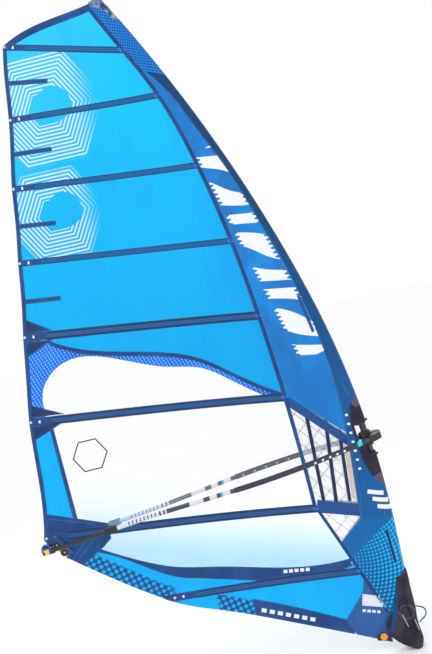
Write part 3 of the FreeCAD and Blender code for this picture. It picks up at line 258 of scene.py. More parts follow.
    def most(self, *values):
        out = values[0]
        for value in values[1:]:
            out = self.math("MAXIMUM", out, value)
        return out

    def least(self, *values):
        out = values[0]
        for value in values[1:]:
            out = self.math("MINIMUM", out, value)
        return out

    def hexagon(self, centre):
        """Distance from a centre in the sail's plane, measured so that rings are hexagons."""
        dx = self.absolute(self.sub(self.x, centre[0]))
        dz = self.absolute(self.sub(self.z, centre[1]))
        return self.most(self.add(self.mul(dx, 0.8660), self.mul(dz, 0.5)), dz)


# -------------------- pieces
def add_piece(name, mesh, material):
    """A visible piece made of a mesh, riding the sail and mast."""
    mesh.materials.clear()
    mesh.materials.append(material)
    piece = bpy.data.objects.new(name, mesh)
    scene.collection.objects.link(piece)
    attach(piece, "sail_and_mast")
    return piece


def closed_mesh(name, points, faces):
    """A mesh of those points and faces, turned to face outwards and without loose points."""
    mesh = bpy.data.meshes.new(name)
    mesh.from_pydata(points, [], faces)
    work = bmesh.new()
    work.from_mesh(mesh)
    bmesh.ops.delete(work, geom=[v for v in work.verts if not v.link_faces], context="VERTS")
    bmesh.ops.recalc_face_normals(work, faces=work.faces)
    work.to_mesh(mesh)
    work.free()
    return mesh


# -------------------- cloth, rebuilt from the outline of its CAD node
def outline_groups(node):
    """The outlines of a flat cloth's starboard face, one list of (x, z) edges for each separate piece."""
    work = bmesh.new()
    work.from_mesh(nodes[node].data)
    bmesh.ops.remove_doubles(work, verts=work.verts, dist=2e-5)
    work.normal_update()
    outer = set()
    for face in work.faces:
        centre = face.calc_center_median()
        if face.normal.y < -0.5 and centre.y < camber(centre.x, centre.z):
            outer.add(face)
    groups = []
    while outer:
        seed = outer.pop()
        group, queue = {seed}, [seed]
        while queue:
            for edge in queue.pop().edges:
                for other in edge.link_faces:
                    if other in outer:
                        outer.remove(other)
                        group.add(other)
                        queue.append(other)
        edges = []
        for face in group:
            for loop in face.loops:
                if not any(f in group and f is not face for f in loop.edge.link_faces):
                    a, b = loop.vert.co, loop.link_loop_next.vert.co
                    edges.append(((a.x, a.z), (b.x, b.z)))
        groups.append(sorted(edges))
    work.free()
    groups.sort(key=lambda edges: -max(z for (_, z), _ in edges))
    return groups


def inside(points, edges):
    """Which points lie inside the outline, by counting crossings."""
    odd = np.zeros(len(points), bool)
    for (ax, az), (bx, bz) in edges:
        crosses = (az > points[:, 1]) != (bz > points[:, 1])
        if crosses.any():
            at = ax + (points[crosses, 1] - az) * (bx - ax) / (bz - az)
            odd[crosses] ^= points[crosses, 0] < at
    return odd


def edge_distance(points, edges):
    """Each point's distance from the outline."""
    best = np.full(len(points), 1e9)
    for a, b in edges:
        a, b = np.array(a), np.array(b)
        run = b - a
        share = np.clip((points - a) @ run / max(run @ run, 1e-12), 0, 1)
        best = np.minimum(best, np.hypot(*(points - a - share[:, None] * run).T))
    return best


def divided(edges, pitch):
    """The outline's edges cut to a length."""
    out = []
    for a, b in edges:
        a, b = np.array(a), np.array(b)
        count = max(1, round(float(np.hypot(*(b - a))) / pitch))
        marks = [a + (b - a) * i / count for i in range(count + 1)]
        out += [(tuple(p), tuple(q)) for p, q in zip(marks, marks[1:])]
    return out


CUTS = []  # the outline and half thickness of every cloth made, for the stitching


def cloth(name, outline, material, slot, edge_half, crown=0.0, crown_width=0.01, pitch=0.03):
    """A sheet on the sail's curve. Its half thickness grows from edge_half by crown."""
    edges = divided(outline, pitch)
    found, links, points = {}, [], []
    for pair in edges:
        link = []
        for p in pair:
            key = (round(p[0], 5), round(p[1], 5))
            if key not in found:
                found[key] = len(points)
                points.append(p)
            link.append(found[key])
        if link[0] != link[1]:
            links.append(tuple(link))
    low, high = np.min(points, axis=0), np.max(points, axis=0)
    columns, rows = np.arange(low[0], high[0], pitch), np.arange(low[1], high[1], pitch)
    grid = np.array([(x, z) for x in columns for z in rows])
    if len(grid):
        grid = grid[inside(grid, edges)]
    if len(grid):
        grid = grid[edge_distance(grid, edges) > 0.45 * pitch]
    flat = [Vector(p) for p in points] + [Vector(p) for p in grid]
    made, _, faces, *_ = delaunay_2d_cdt(flat, links, [], 0, 1e-6)
    made = np.array([tuple(p) for p in made])
    middle = np.array([made[list(f)].mean(0) for f in faces])
    keep = inside(middle, edges)
    faces = [f for f, k in zip(faces, keep) if k]
    rise = np.clip(edge_distance(made, edges) / crown_width, 0, 1)
    half = edge_half + crown * np.sin(rise * math.pi / 2)
    stand = np.array([camber(x, z) for x, z in made])
    count = len(made)
    port = [(x, y + h, z) for (x, z), y, h in zip(made, stand, half)]
    starboard = [(x, y - h, z) for (x, z), y, h in zip(made, stand, half)]
    uses = {}
    for f in faces:
        for a, b in zip(f, [*f[1:], f[0]]):
            uses.setdefault(frozenset((a, b)), []).append((a, b))
    # in the sail's plane, seen from starboard, a face turns the way its starboard side needs
    sides = [tuple(v + count for v in f) for f in faces] + [tuple(reversed(f)) for f in faces]
    for run in uses.values():
        if len(run) == 1:
            a, b = run[0]
            sides.append((b + count, a + count, a, b))
    mesh = closed_mesh(name, port + starboard, sides)
    mesh.shade_smooth()
    mesh.set_sharp_from_angle(angle=math.radians(50))
    piece = add_piece(name, mesh, material)
    CUTS.append((outline, edge_half + crown))
    return piece


def cloth_node(node, *cut, **pitch):
    """Replaces a CAD node by one sheet for each of its separate pieces."""
    groups = outline_groups(node)
    for number, outline in enumerate(groups, start=1):
        name = node if len(groups) == 1 else f"{node}_{number}"
        if name in bpy.data.objects:
            name += "_cloth"
        cloth(name, outline, *cut, **pitch)
    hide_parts(node)


# -------------------- materials
SKY, DEEP_CYAN = linear(0, 190, 248), linear(0, 148, 224)
NAVY, DARK_NAVY, BLACK_NAVY = linear(34, 78, 140), linear(26, 64, 122), linear(20, 40, 76)
WHITE = linear(238, 240, 248)
BATTENS = [  # leech end and luff end
    ((-1.766, 4.430), (-0.988, 4.217)), ((-1.837, 3.963), (-0.851, 3.895)),
    ((-1.920, 3.525), (-0.698, 3.403)), ((-1.993, 3.046), (-0.591, 2.879)),
    ((-2.074, 2.567), (-0.516, 2.360)), ((-2.165, 2.014), (-0.480, 1.795)),
    ((-2.242, 1.241), (-0.437, 1.025)), ((-1.512, 0.644), (-0.254, 0.559)),
]
MINI_BATTENS = [
    ((-1.806, 4.200), (-1.529, 4.153)), ((-1.878, 3.744), (-1.607, 3.724)),
    ((-1.952, 3.284), (-1.693, 3.252)), ((-2.029, 2.797), (-1.777, 2.767)),
]
FRONT_SEAM = [
    (-0.782, 3.896), (-0.662, 3.635), (-0.538, 3.360), (-0.404, 2.975), (-0.335, 2.769), (-0.188, 2.147),
    (-0.147, 1.708), (-0.158, 1.296), (-0.183, 0.910),
]


def film(name):
    """A glossy polyester film with soft creases; returns the material's maker and its crease pattern, which the
    films also use to paint light and shade along the creases.
    """
    m = Shade(name, roughness=0.2, alpha=0.97, specular_ior_level=0.2)
    creases = m.noise(4, 4, (1, 1, 0.35))
    m.bump(creases, 0.012, 0.3)
    return m, creases


def upper_film():
    """The coloured film, with two fields of thin hexagon lines near the leech."""
    m, creases = film("printed_film")
    tint = m.mix(m.step(2.0, 4.4, m.z), linear(0, 166, 230), SKY)
    # darker along the crease pattern: painted crease shade
    tint = m.mix(m.mul(m.step(0.45, 0.75, creases), 0.35), tint, DEEP_CYAN)
    tint = m.mix(m.mul(m.step(-0.85, -0.45, m.x), 0.5), tint, DEEP_CYAN)
    for centre, size in (((-1.589, 3.982), 0.36), ((-1.679, 3.303), 0.30)):
        ring = m.hexagon(centre)
        lines = m.step(-0.05, 0.35, m.sine(m.mul(ring, 2 * math.pi / 0.0235)))
        forward = m.step(centre[0] + size, centre[0] + 0.4 * size, m.x)
        shown = m.mul(m.mul(m.step(size, size - 0.03, ring), m.more(ring, 0.10)), forward)
        shown = m.mul(shown, m.sub(1.0, m.disc((centre[0] + 0.06, centre[1] + 0.02), 0.115)))
        tint = m.mix(m.mul(m.mul(lines, shown), 0.9), tint, linear(214, 226, 250))
    return m.finish(tint)


def plain_film():
    m, creases = film("leech_film")
    # lighter along the crease pattern: painted crease light
    return m.finish(m.mix(m.mul(m.step(0.4, 0.75, creases), 0.35), linear(0, 168, 240), SKY))


def clear_film(name, marked=False):
    """Window film: clear, white above and pale cyan towards its lower and after corner."""
    m = Shade(name, roughness=0.12, specular_ior_level=0.2)
    creases = m.noise(4, 4, (1, 1, 0.4))
    low = m.step(1.62, 1.05, m.add(m.z, m.mul(m.add(m.x, 2.0), 0.28)))
    tint = m.mix(low, linear(240, 250, 255), linear(0, 196, 250))
    # a little more of the pale film shows along the creases: painted sheen
    clear = m.add(m.add(0.03, m.mul(low, 0.30)), m.mul(creases, 0.03))
    if marked:
        ring = m.hexagon((-1.83, 1.71))
        mark = m.mul(m.step(0.093, 0.096, ring), m.step(0.104, 0.101, ring))
        tint = m.mix(mark, tint, linear(20, 24, 34))
        clear = m.most(mark, clear)
    return m.finish(tint, creases, 0.01, 0.25, alpha=clear)


def cloth_weave(name, base, dark, pitch, roughness=0.62):
    """Woven cloth: a plain weave and a slow change of tone."""
    m = Shade(name, roughness=roughness, specular_ior_level=0.25)
    return m.finish(m.mix(m.step(0.3, 0.75, m.noise(6, 4)), dark, base), m.lattice(pitch), 0.0006, 0.5)


def batten_cloth(name, lines, half_slot, edge_at, film_above, end_length, mark_at):
    """Pockets: a slot that shows the film beneath, dark sewn edges, and plain cloth over the leech end."""
    m = Shade(name, roughness=0.5, specular_ior_level=0.25)
    beside, ended, marked = [], [], []
    for line in lines:
        away = m.absolute(m.offset(*line))
        run = m.mul(m.ramp_line(*line), math.dist(*line))
        beside.append(away)
        ended.append(m.mul(m.less(away, 0.05), m.less(run, end_length)))
        marked.append(m.mul(m.less(away, 0.009), m.between(run, mark_at, mark_at + 0.012)))
    beside, ended, marked = m.least(*beside), m.most(*ended), m.most(*marked)
    base = m.mix(m.noise(8, 3), DARK_NAVY, NAVY)
    higher = m.step(film_above - 0.01, film_above + 0.01, m.z)
    slot_tint = m.mix(higher, linear(48, 98, 160), linear(10, 112, 178))
    rod = m.mul(m.step(0.0045, 0.0025, beside), 0.6)
    slot_tint = m.mix(rod, slot_tint, BLACK_NAVY)
    slot = m.mul(m.step(half_slot + 0.001, half_slot - 0.001, beside), m.sub(1.0, ended))
    edge = m.mul(m.step(edge_at - 0.001, edge_at + 0.001, beside), m.sub(1.0, ended))
    tint = m.mix(slot, base, slot_tint)
    tint = m.mix(m.mul(edge, 0.9), tint, BLACK_NAVY)
    height = m.add(m.lattice(0.004), m.mul(slot, -2.0))
    return m.finish(m.mix(m.mul(marked, 0.9), tint, WHITE), height, 0.0006, 0.5)


def ply_film():
    """The corner ply: bright blue with rows of small white ticks."""
    m, creases = film("corner_ply_film")
    column = m.fract(m.mul(m.add(m.x, m.mul(m.z, 0.35)), 1 / 0.022))
    row = m.fract(m.mul(m.sub(m.z, m.mul(m.x, 0.35)), 1 / 0.020))
    tick = m.mul(m.step(0.76, 0.82, column), m.step(0.40, 0.50, row))
    # lighter along the crease pattern: painted crease light
    tint = m.mix(m.step(0.3, 0.7, creases), linear(0, 96, 214), linear(0, 124, 244))
    return m.finish(m.mix(m.mul(tick, 0.6), tint, WHITE))


def foot_film():
    """The foot panel: cyan, with rows of cyan cells in navy along its lower edge."""
    m, creases = film("foot_film")
    cells = m.step(0.10, 0.2, m.lattice(0.062, -0.62))
    foot = m.least(m.offset((-2.150, 1.095), (-1.596, 0.669)), m.offset((-1.596, 0.669), (-0.650, 0.260)))
    field = m.mul(m.step(0.10, 0.08, foot), m.most(
        m.step(-1.46, -1.52, m.x),
        m.between(m.x, -1.227, -1.0), m.between(m.x, -0.62, -0.3),
    ))
    # lighter along the crease pattern: painted crease light
    tint = m.mix(m.mul(m.step(0.4, 0.75, creases), 0.35), linear(0, 168, 240), SKY)
    return m.finish(m.mix(m.mul(field, m.sub(1.0, cells)), tint, NAVY))


def band_cloth():
    """The sewn bands: navy cloth, with plain white bars printed on the two lower ones."""
    m = Shade("band_cloth", roughness=0.6, specular_ior_level=0.25)
    tint = m.mix(m.step(0.3, 0.75, m.noise(6, 4)), DARK_NAVY, NAVY)
    printed = m.most(
        m.dashes((-0.955, 0.434), (-0.600, 0.288), 0.013, 7, 0.62),
        m.dashes((-0.755, 0.655), (-0.570, 0.634), 0.011, 5, 0.7),
    )
    return m.finish(m.mix(m.mul(printed, 0.95), tint, WHITE), m.lattice(0.004), 0.0006, 0.5)


def tack_cloth():
    m = Shade("tack_cloth", roughness=0.6, specular_ior_level=0.25)
    tint = m.mix(m.step(0.3, 0.75, m.noise(6, 4)), linear(40, 88, 152), linear(52, 104, 172))
    printed = m.dashes((-0.300, 0.296), (-0.176, 0.262), 0.009, 4, 0.7)
    return m.finish(m.mix(m.mul(printed, 0.9), tint, WHITE), m.lattice(0.004), 0.0006, 0.5)


def sleeve_dots():
    """The lower sleeve: curved rows of cyan dots on dark blue, larger towards the front edge."""
    m = Shade("dotted_sleeve", roughness=0.5, specular_ior_level=0.25)
    dx, dz = m.add(m.x, 0.55), m.sub(m.z, 1.02)
    far = m.root(m.add(m.mul(dx, dx), m.mul(dz, dz)))
    turn = m.math("ARCTAN2", dz, dx)
    dots = m.mul(m.sine(m.mul(far, 2 * math.pi / 0.032)), m.sine(m.mul(turn, 96)))
    size = m.sub(0.56, m.mul(m.step(-0.30, 0.02, m.x), 0.52))
    size = m.add(size, m.mul(m.step(0.45, 0.2, m.z), 0.15))
    dotted = m.step(0.0, 0.02, m.offset((-0.0775, 0.832), (-0.281, 0.681)))
    shown = m.mul(m.step(-0.03, 0.03, m.sub(dots, size)), dotted)
    ground = m.mix(m.step(0.25, 0.8, m.z), linear(0, 84, 140), linear(0, 98, 166))
    tint = m.mix(shown, ground, linear(0, 180, 244))
    zip_dark = m.line((-0.034, 0.817), (-0.022, 0.593), 0.008)
    zip_lit = m.line((-0.024, 0.817), (-0.012, 0.593), 0.004)
    tint = m.mix(m.mul(zip_lit, 0.8), tint, linear(70, 140, 196))
    return m.finish(m.mix(zip_dark, tint, linear(12, 44, 84)), m.lattice(0.003), 0.0005, 0.4)


def head_dots(m, tint):
    """Small bright dots on dark blue, above the head panel's forward seam."""
    dots = m.lattice(0.024, 0.4)
    above = m.step(-0.004, 0.004, m.offset((-0.927, 4.070), (-0.766, 3.995)))
    dotted = m.mix(m.step(-0.25, -0.1, dots), linear(6, 50, 96), linear(0, 126, 220))
    return m.mix(above, tint, dotted)


def sleeve_front_cloth():
    """The sleeve's front: dark blue, brighter in its middle, with plain white marks and a zipped slot."""
    m = Shade("sleeve_front_cloth", roughness=0.45, specular_ior_level=0.25)
    tone = m.noise(3, 4, (1, 1, 0.5))
    tint = m.mix(m.step(3.6, 1.4, m.z), linear(0, 60, 110), linear(0, 86, 150))
    tint = m.mix(m.mul(m.step(0.3, 0.7, tone), 0.35), tint, linear(0, 54, 98))
    tint = m.mix(m.mul(m.step(2.1, 1.3, m.z), 0.35), tint, linear(0, 98, 168))
    tint = head_dots(m, tint)
    tint = m.mix(m.line((-0.259, 2.439), (-0.215, 2.188), 0.020), tint, linear(8, 46, 92))
    scale = m.dashes((-0.124, 1.617), (-0.114, 1.190), 0.009, 7, 0.24)
    badge = m.most(*[m.line((-0.098 + 0.021 * step, 1.085 - 0.052 * step),
                            (0.000 + 0.021 * step, 1.062 - 0.052 * step),
                            0.014) for step in range(3)])
    tint = m.mix(m.most(scale, badge), tint, WHITE)
    return m.finish(tint, m.add(m.lattice(0.004), m.mul(tone, 4)), 0.0008, 0.4)


def sleeve_side_cloth():
    """The sleeve's sides: see-through blue film with plain slanted white bars and navy seam bands, and darker
    patches of painted shadow where the mast shows behind it.
    """
    m = Shade("sleeve_side_cloth", roughness=0.3, specular_ior_level=0.25)
    tone = m.noise(3, 4, (1, 1, 0.5))
    tint = m.mix(m.step(0.3, 0.7, tone), linear(20, 122, 204), linear(10, 150, 240))
    # darker, more opaque patches: painted shadow of the mast behind the sleeve
    patches = m.step(0.52, 0.62, m.noise(5, 2, (1, 1, 0.6)))
    tint = m.mix(m.mul(patches, 0.5), tint, linear(26, 94, 162))
    start, end = (-0.634, 3.495), (-0.237, 2.036)
    share = m.ramp_line(start, end)
    beside = m.offset(start, end)
    streak = m.mul(m.sine(m.mul(m.z, 210)), 0.012)
    width = m.add(m.add(0.070, m.mul(share, 0.022)), streak)
    phase = m.add(m.add(m.mul(share, 8.0), m.mul(beside, -3.4)), m.mul(m.sine(m.mul(share, 19)), 0.22))
    bar = m.mul(m.step(0.44, 0.46, m.fract(phase)),
                m.more(width, m.absolute(beside)))
    bar = m.mul(bar, m.between(share, 0.0, 1.0))
    slot = m.line((-0.259, 2.439), (-0.215, 2.188), 0.010)
    seam = m.most(m.line((-0.480, 1.772), (-0.140, 1.428), 0.028), slot)
    tint = m.mix(bar, tint, linear(236, 238, 248))
    tint = m.mix(seam, tint, NAVY)
    # the patches of painted mast shadow also let less show through
    cover = m.most(bar, seam, m.add(0.78, m.mul(patches, 0.15)))
    return m.finish(head_dots(m, tint), m.add(m.lattice(0.004), m.mul(tone, 4)), 0.0008, 0.4, alpha=cover)


def scrim():
    """Clear film laid with thin crossing threads, three dark straps, a pale strip and a navy band."""
    m = Shade("scrim_film", roughness=0.15, specular_ior_level=0.2)
    threads = []
    for slope, pitch in ((1.15, 0.105), (-0.9, 0.130), (3.4, 0.24)):
        run = m.fract(m.mul(m.add(m.z, m.mul(m.x, slope)), 1 / pitch))
        threads.append(m.less(run, 0.0022 / pitch))
    threads = m.most(*threads)
    straps = m.most(
        m.line((-0.375, 1.70), (-0.390, 1.04), 0.012), m.line((-0.262, 1.60), (-0.311, 1.04), 0.012),
        m.line((-0.190, 1.52), (-0.222, 1.04), 0.011),
    )
    pale = m.line((-0.160, 1.47), (-0.185, 1.04), 0.014)
    band = m.most(m.line((-0.440, 1.040), (-0.150, 0.965), 0.042),
                  m.line((-0.500, 1.792), (-0.120, 1.408), 0.028))
    tint = m.mix(threads, linear(246, 249, 252), linear(52, 58, 80))
    tint = m.mix(straps, tint, linear(42, 46, 86))
    tint = m.mix(pale, tint, linear(216, 200, 188))
    cover = m.most(m.mul(threads, 0.85), m.mul(straps, 0.88), m.mul(pale, 0.85), band, 0.16)
    return m.finish(m.mix(band, tint, NAVY), alpha=cover)


def crinkled_film():
    """The clear cap over the mast tip, sharply crinkled, with painted highlights on the crests of its crinkles."""
    m = Shade("head_cap_film", roughness=0.1)
    folds = m.noise(26, 5)
    # lighter and more opaque on the crinkles' crests: painted highlights
    tint = m.mix(m.step(0.5, 0.7, folds), linear(30, 70, 128), linear(150, 172, 206))
    return m.finish(tint, folds, 0.01, 0.8, alpha=m.add(0.30, m.mul(m.step(0.4, 0.62, folds), 0.35)))


def neoprene():
    """The cover of the boom cut-out: fine-grained foam cloth with paler patches at its two ends."""
    m = Shade("cover_neoprene", roughness=0.85, specular_ior_level=0.2)
    tint = m.mix(m.step(0.3, 0.8, m.noise(7, 5)), linear(40, 37, 50), linear(64, 59, 78))
    ends = m.most(m.disc((-0.040, 1.700), 0.045), m.disc((0.000, 1.150), 0.045))
    height = m.add(m.noise(900, 2), m.mul(m.noise(30, 3), 2))
    return m.finish(m.mix(m.mul(ends, 0.8), tint, linear(96, 90, 116)), height, 0.001, 0.5)


def boot_neoprene():
    """The tack boot: black foam cloth with a dark blue insert, an embossed pad and pale reflective lines."""
    m = Shade("boot_neoprene", roughness=0.72, specular_ior_level=0.3)
    tint = m.mix(m.step(0.3, 0.75, m.noise(9, 5)), linear(30, 28, 36), linear(62, 56, 74))
    insert = m.most(m.line((-0.062, 0.455), (-0.105, 0.210), 0.020),
                    m.line((-0.105, 0.230), (-0.145, 0.130), 0.016))
    tint = m.mix(insert, tint, linear(14, 68, 124))
    pad = m.hexagon((-0.020, 0.250))
    rim = m.mul(m.step(0.040, 0.043, pad), m.step(0.049, 0.046, pad))
    lines = m.most(m.line((-0.052, 0.235), (-0.030, 0.150), 0.0022),
                   m.line((0.020, 0.190), (0.036, 0.110), 0.0022))
    tint = m.mix(m.mul(rim, 0.45), tint, linear(120, 114, 134))
    height = m.add(m.noise(700, 2), m.add(m.mul(m.noise(24, 4), 5), m.mul(rim, 3.0)))
    return m.finish(m.mix(m.mul(lines, 0.85), tint, linear(206, 204, 214)), height, 0.0014, 0.6)


def plastic(name, base, roughness=0.5):
    m = Shade(name, roughness=roughness)
    tone = m.noise(40, 3)
    lighter = tuple(min(1, c * 1.6 + 0.004) for c in base[:3]) + (1.0,)
    return m.finish(m.mix(tone, base, lighter), m.noise(700, 2), 0.0004, 0.4)


def roller_plastic():
    m = Shade("clear_roller", roughness=0.18, alpha=0.8)
    tint = m.mix(m.noise(50, 3), linear(196, 208, 218), linear(236, 240, 244))
    return m.finish(tint, m.noise(300, 2), 0.0004, 0.3)


def metal(name, base, roughness):
    m = Shade(name, roughness=roughness, metallic=1.0)
    darker = tuple(c * 0.8 for c in base[:3]) + (1.0,)
    tint = m.mix(m.noise(60, 3, (1, 1, 0.05)), base, darker)
    return m.finish(tint, m.noise(500, 2, (1, 1, 0.04)), 0.0002, 0.3)


def twill(m):
    return m.sine(m.mul(m.add(m.x, m.z), 2 * math.pi / 0.005))


def carbon():
    m = Shade("carbon", roughness=0.28, coat_weight=0.4)
    tint = m.mix(m.step(-0.4, 0.4, twill(m)), linear(22, 22, 25), linear(42, 43, 48))
    return m.finish(tint, twill(m), 0.0002, 0.25)


def boom_arm():
    """The boom's arms: dark carbon, white, black and cyan trim bands, two rings and a long white scale."""
    m = Shade("boom_arm_carbon", roughness=0.3, coat_weight=0.3)
    tint = m.mix(m.step(-0.4, 0.4, twill(m)), linear(44, 40, 54), linear(66, 60, 78))
    white = m.most(*[m.between(m.x, *span) for span in (
        (-1.012, -0.964), (-1.103, -1.055), (-1.242, -1.146), (-1.412, -1.400), (-1.440, -1.424), (-1.745, -1.452),
    )])
    steps = m.less(m.fract(m.mul(m.x, 1 / 0.026)), 0.28)
    above = m.step(-0.002, 0.001, m.offset((-1.8, 1.211), (-1.4, 1.2587)))
    scale = m.mul(m.mul(steps, m.between(m.x, -1.68, -1.47)), above)
    tint = m.mix(white, tint, linear(212, 208, 222))
    tint = m.mix(scale, tint, linear(44, 42, 52))
    return m.finish(m.mix(m.between(m.x, -1.027, -1.012), tint, linear(0, 190, 226)), twill(m), 0.0002, 0.25)


def boom_tail():
    """The tail tubes: black, with a white tick at each step along the lower edge."""
    m = Shade("tail_carbon", roughness=0.35)
    steps = m.less(m.fract(m.mul(m.x, 1 / 0.022)), 0.3)
    below = m.step(-0.0085, -0.0095, m.offset((-2.25, 1.1634), (-1.65, 1.2350)))
    tint = m.mix(m.step(-0.4, 0.4, twill(m)), linear(20, 20, 24), linear(36, 36, 42))
    return m.finish(m.mix(m.mul(steps, below), tint, linear(214, 214, 220)), twill(m), 0.0002, 0.25)


def tail_fitting():
    """The tail's end moulding: black, blue round its after end, with a gold band on the blue."""
    m = Shade("tail_fitting", roughness=0.4)
    tint = m.mix(m.noise(40, 3), linear(26, 26, 32), linear(40, 40, 48))
    tint = m.mix(m.step(-2.196, -2.204, m.x), tint, linear(16, 62, 132))
    outer = m.more(m.absolute(m.y), 0.098)
    ring = m.mul(m.between(m.x, -2.262, -2.214), outer)
    return m.finish(m.mix(ring, tint, linear(240, 188, 84)), m.noise(500, 2), 0.0004, 0.4)


def grip():
    """The ribbed foam grip, with a cyan ring near its front and small white marks behind it."""
    m = Shade("grip_foam", roughness=0.85, specular_ior_level=0.2)
    tint = m.mix(m.noise(60, 4), linear(52, 52, 66), linear(74, 78, 94))
    tint = m.mix(m.between(m.x, -0.100, -0.070), tint, linear(30, 215, 230))
    middle = m.offset((-0.9, 1.3249), (0.0, 1.4322))
    marks = m.mul(m.less(m.absolute(middle), 0.007), m.between(m.x, -0.40, -0.16))
    marks = m.mul(marks, m.less(m.fract(m.mul(m.x, 1 / 0.05)), 0.3))
    port_marks = m.mul(m.less(m.fract(m.mul(m.x, 1 / 0.08)), 0.1),
                       m.less(m.absolute(middle), 0.005))
    port_marks = m.mul(port_marks, m.more(m.y, 0.0))
    grooves = m.sine(m.mul(m.x, 2 * math.pi / 0.004))
    return m.finish(m.mix(m.most(marks, port_marks), tint, linear(225, 225, 232)), grooves, 0.0004, 0.6)


def tensioner_plastic():
    """The batten ends: navy, with the pale head of the screw's housing at the leech."""
    m = Shade("tensioner_plastic", roughness=0.45, specular_ior_level=0.3)
    heads = m.most(*[m.disc((leech[0] + 0.010, leech[1]), 0.009) for leech, _ in BATTENS])
    tint = m.mix(m.noise(30, 3), DARK_NAVY, NAVY)
    return m.finish(m.mix(m.mul(heads, 0.9), tint, linear(206, 210, 222)), m.noise(500, 2), 0.0004, 0.4)


def clew_plastic():
    """The clew's pulley block: black cheeks with gold rivets, on a navy flange, with painted highlights on the
    wheels' raised rims.
    """
    m = Shade("clew_plastic", roughness=0.4)
    wheels = m.most(m.disc((-2.176, 1.181), 0.0245), m.disc((-2.137, 1.123), 0.0275))
    rivets = m.most(m.disc((-2.176, 1.181), 0.006), m.disc((-2.137, 1.123), 0.006))
    rims = m.mul(wheels, m.sub(1.0, m.most(m.disc((-2.176, 1.181), 0.019), m.disc((-2.137, 1.123), 0.022))))
    tint = m.mix(m.noise(30, 3), DARK_NAVY, NAVY)
    tint = m.mix(wheels, tint, linear(24, 24, 30))
    # the raised wheel rims painted a lighter grey: painted highlights
    tint = m.mix(m.mul(rims, 0.35), tint, linear(110, 112, 124))
    height = m.add(m.noise(500, 2), m.mul(rims, 4.0))
    return m.finish(m.mix(rivets, tint, linear(226, 178, 84)), height, 0.0006, 0.4)


def tack_plastic():
    """The tack block and buckle: black plastic, with an orange badge in the buckle's middle."""
    m = Shade("tack_plastic", roughness=0.5)
    tint = m.mix(m.noise(40, 3), linear(26, 27, 31), linear(40, 41, 47))
    badge = m.step(0.024, 0.022, m.hexagon((-0.199, 0.100)))
    return m.finish(m.mix(badge, tint, linear(250, 150, 0)), m.noise(700, 2), 0.0004, 0.4)


def rope_fibre():
    m = Shade("rope_fibre", roughness=0.8)
    lay = m.sine(m.mul(m.add(m.add(m.x, m.z), m.y), 2 * math.pi / 0.006))
    tint = m.mix(m.step(-0.5, 0.5, lay), linear(196, 190, 176), linear(236, 232, 222))
    return m.finish(tint, lay, 0.0005, 0.7)


# -------------------- the free cord: the boot's pull strap
STRAP = [(48, 262), (78, 253), (106, 230), (106, 194), (80, 168), (50, 150)]


def make_strap():
    curve = bpy.data.curves.new("boot_pull_strap", "CURVE")
    curve.dimensions = "3D"
    curve.bevel_depth = 1.0
    curve.bevel_resolution = 4
    spline = curve.splines.new("NURBS")
    spline.points.add(len(STRAP) - 1)
    for point, (x, z) in zip(spline.points, STRAP):
        point.co = (x / 1000, 0.0, z / 1000, 1.0)
        point.radius = 0.004
    spline.order_u = 3
    spline.use_endpoint_u = True
    strap = bpy.data.objects.new("boot_pull_strap", curve)
    scene.collection.objects.link(strap)
    webbing = cloth_weave("strap_webbing", linear(34, 34, 38), linear(18, 18, 22), 0.002, 0.8)
    strap.data.materials.append(webbing)
    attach(strap, "sail_and_mast")
    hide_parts("boot_strap")
    return strap


make_strap()

# -------------------- cloth and film
printed = upper_film()
window = clear_film("window_film")
navy = cloth_weave("navy_sailcloth", NAVY, DARK_NAVY, 0.004)
pocket_cloth = batten_cloth("pocket_cloth", BATTENS, 0.0085, 0.0155, 2.7, 0.150, 0.062)
NO_MARK = 9.0                       # metres along a pocket, beyond every pocket's end
mini_cloth = batten_cloth("mini_pocket_cloth", MINI_BATTENS, 0.0035, 0.02, 2.0, 0.060, NO_MARK)
FILM, BAND = 0.0005, 0.0018
PRINTED_NODES = ["head_panel"] + [f"body_panel_{n}" for n in range(1, 6)]
PANELS = [(node, printed, "cyan_film") for node in PRINTED_NODES] + [
    ("leech_strip", plain_film(), "cyan_film"), ("foot_panel", foot_film(), "cyan_film"),
    ("corner_ply", ply_film(), "ply_film"), ("window_upper", window, "clear_film"),
    ("window_lower", window, "clear_film"),
    ("window_main", clear_film("marked_window_film", True), "clear_film"),
]
for panel in PANELS:
    cloth_node(*panel, FILM, pitch=0.04)
for node, material in (("clew_patch", navy), ("tack_panel", tack_cloth()), ("seam_bands", band_cloth())):
    cloth_node(node, material, "navy_cloth", BAND, pitch=0.025)
cloth_node("edge_tapes", navy, "navy_cloth", 0.0012, 0.003, 0.010, pitch=0.014)
cloth_node("mini_battens", mini_cloth, "navy_cloth", 0.0012, 0.0018, 0.010, pitch=0.012)
cloth_node("batten_pockets", pocket_cloth, "navy_cloth", 0.0012, 0.0036, 0.014, pitch=0.016)


# -------------------- patches sewn over the film
def patch(name, points, material, slot, half=0.0025):
    """A flat patch sewn over the film, showing on both sides; points are its corners in the sail's plane."""
    cloth(name, list(zip(points, [*points[1:], points[0]])), material, slot, half, pitch=0.02)


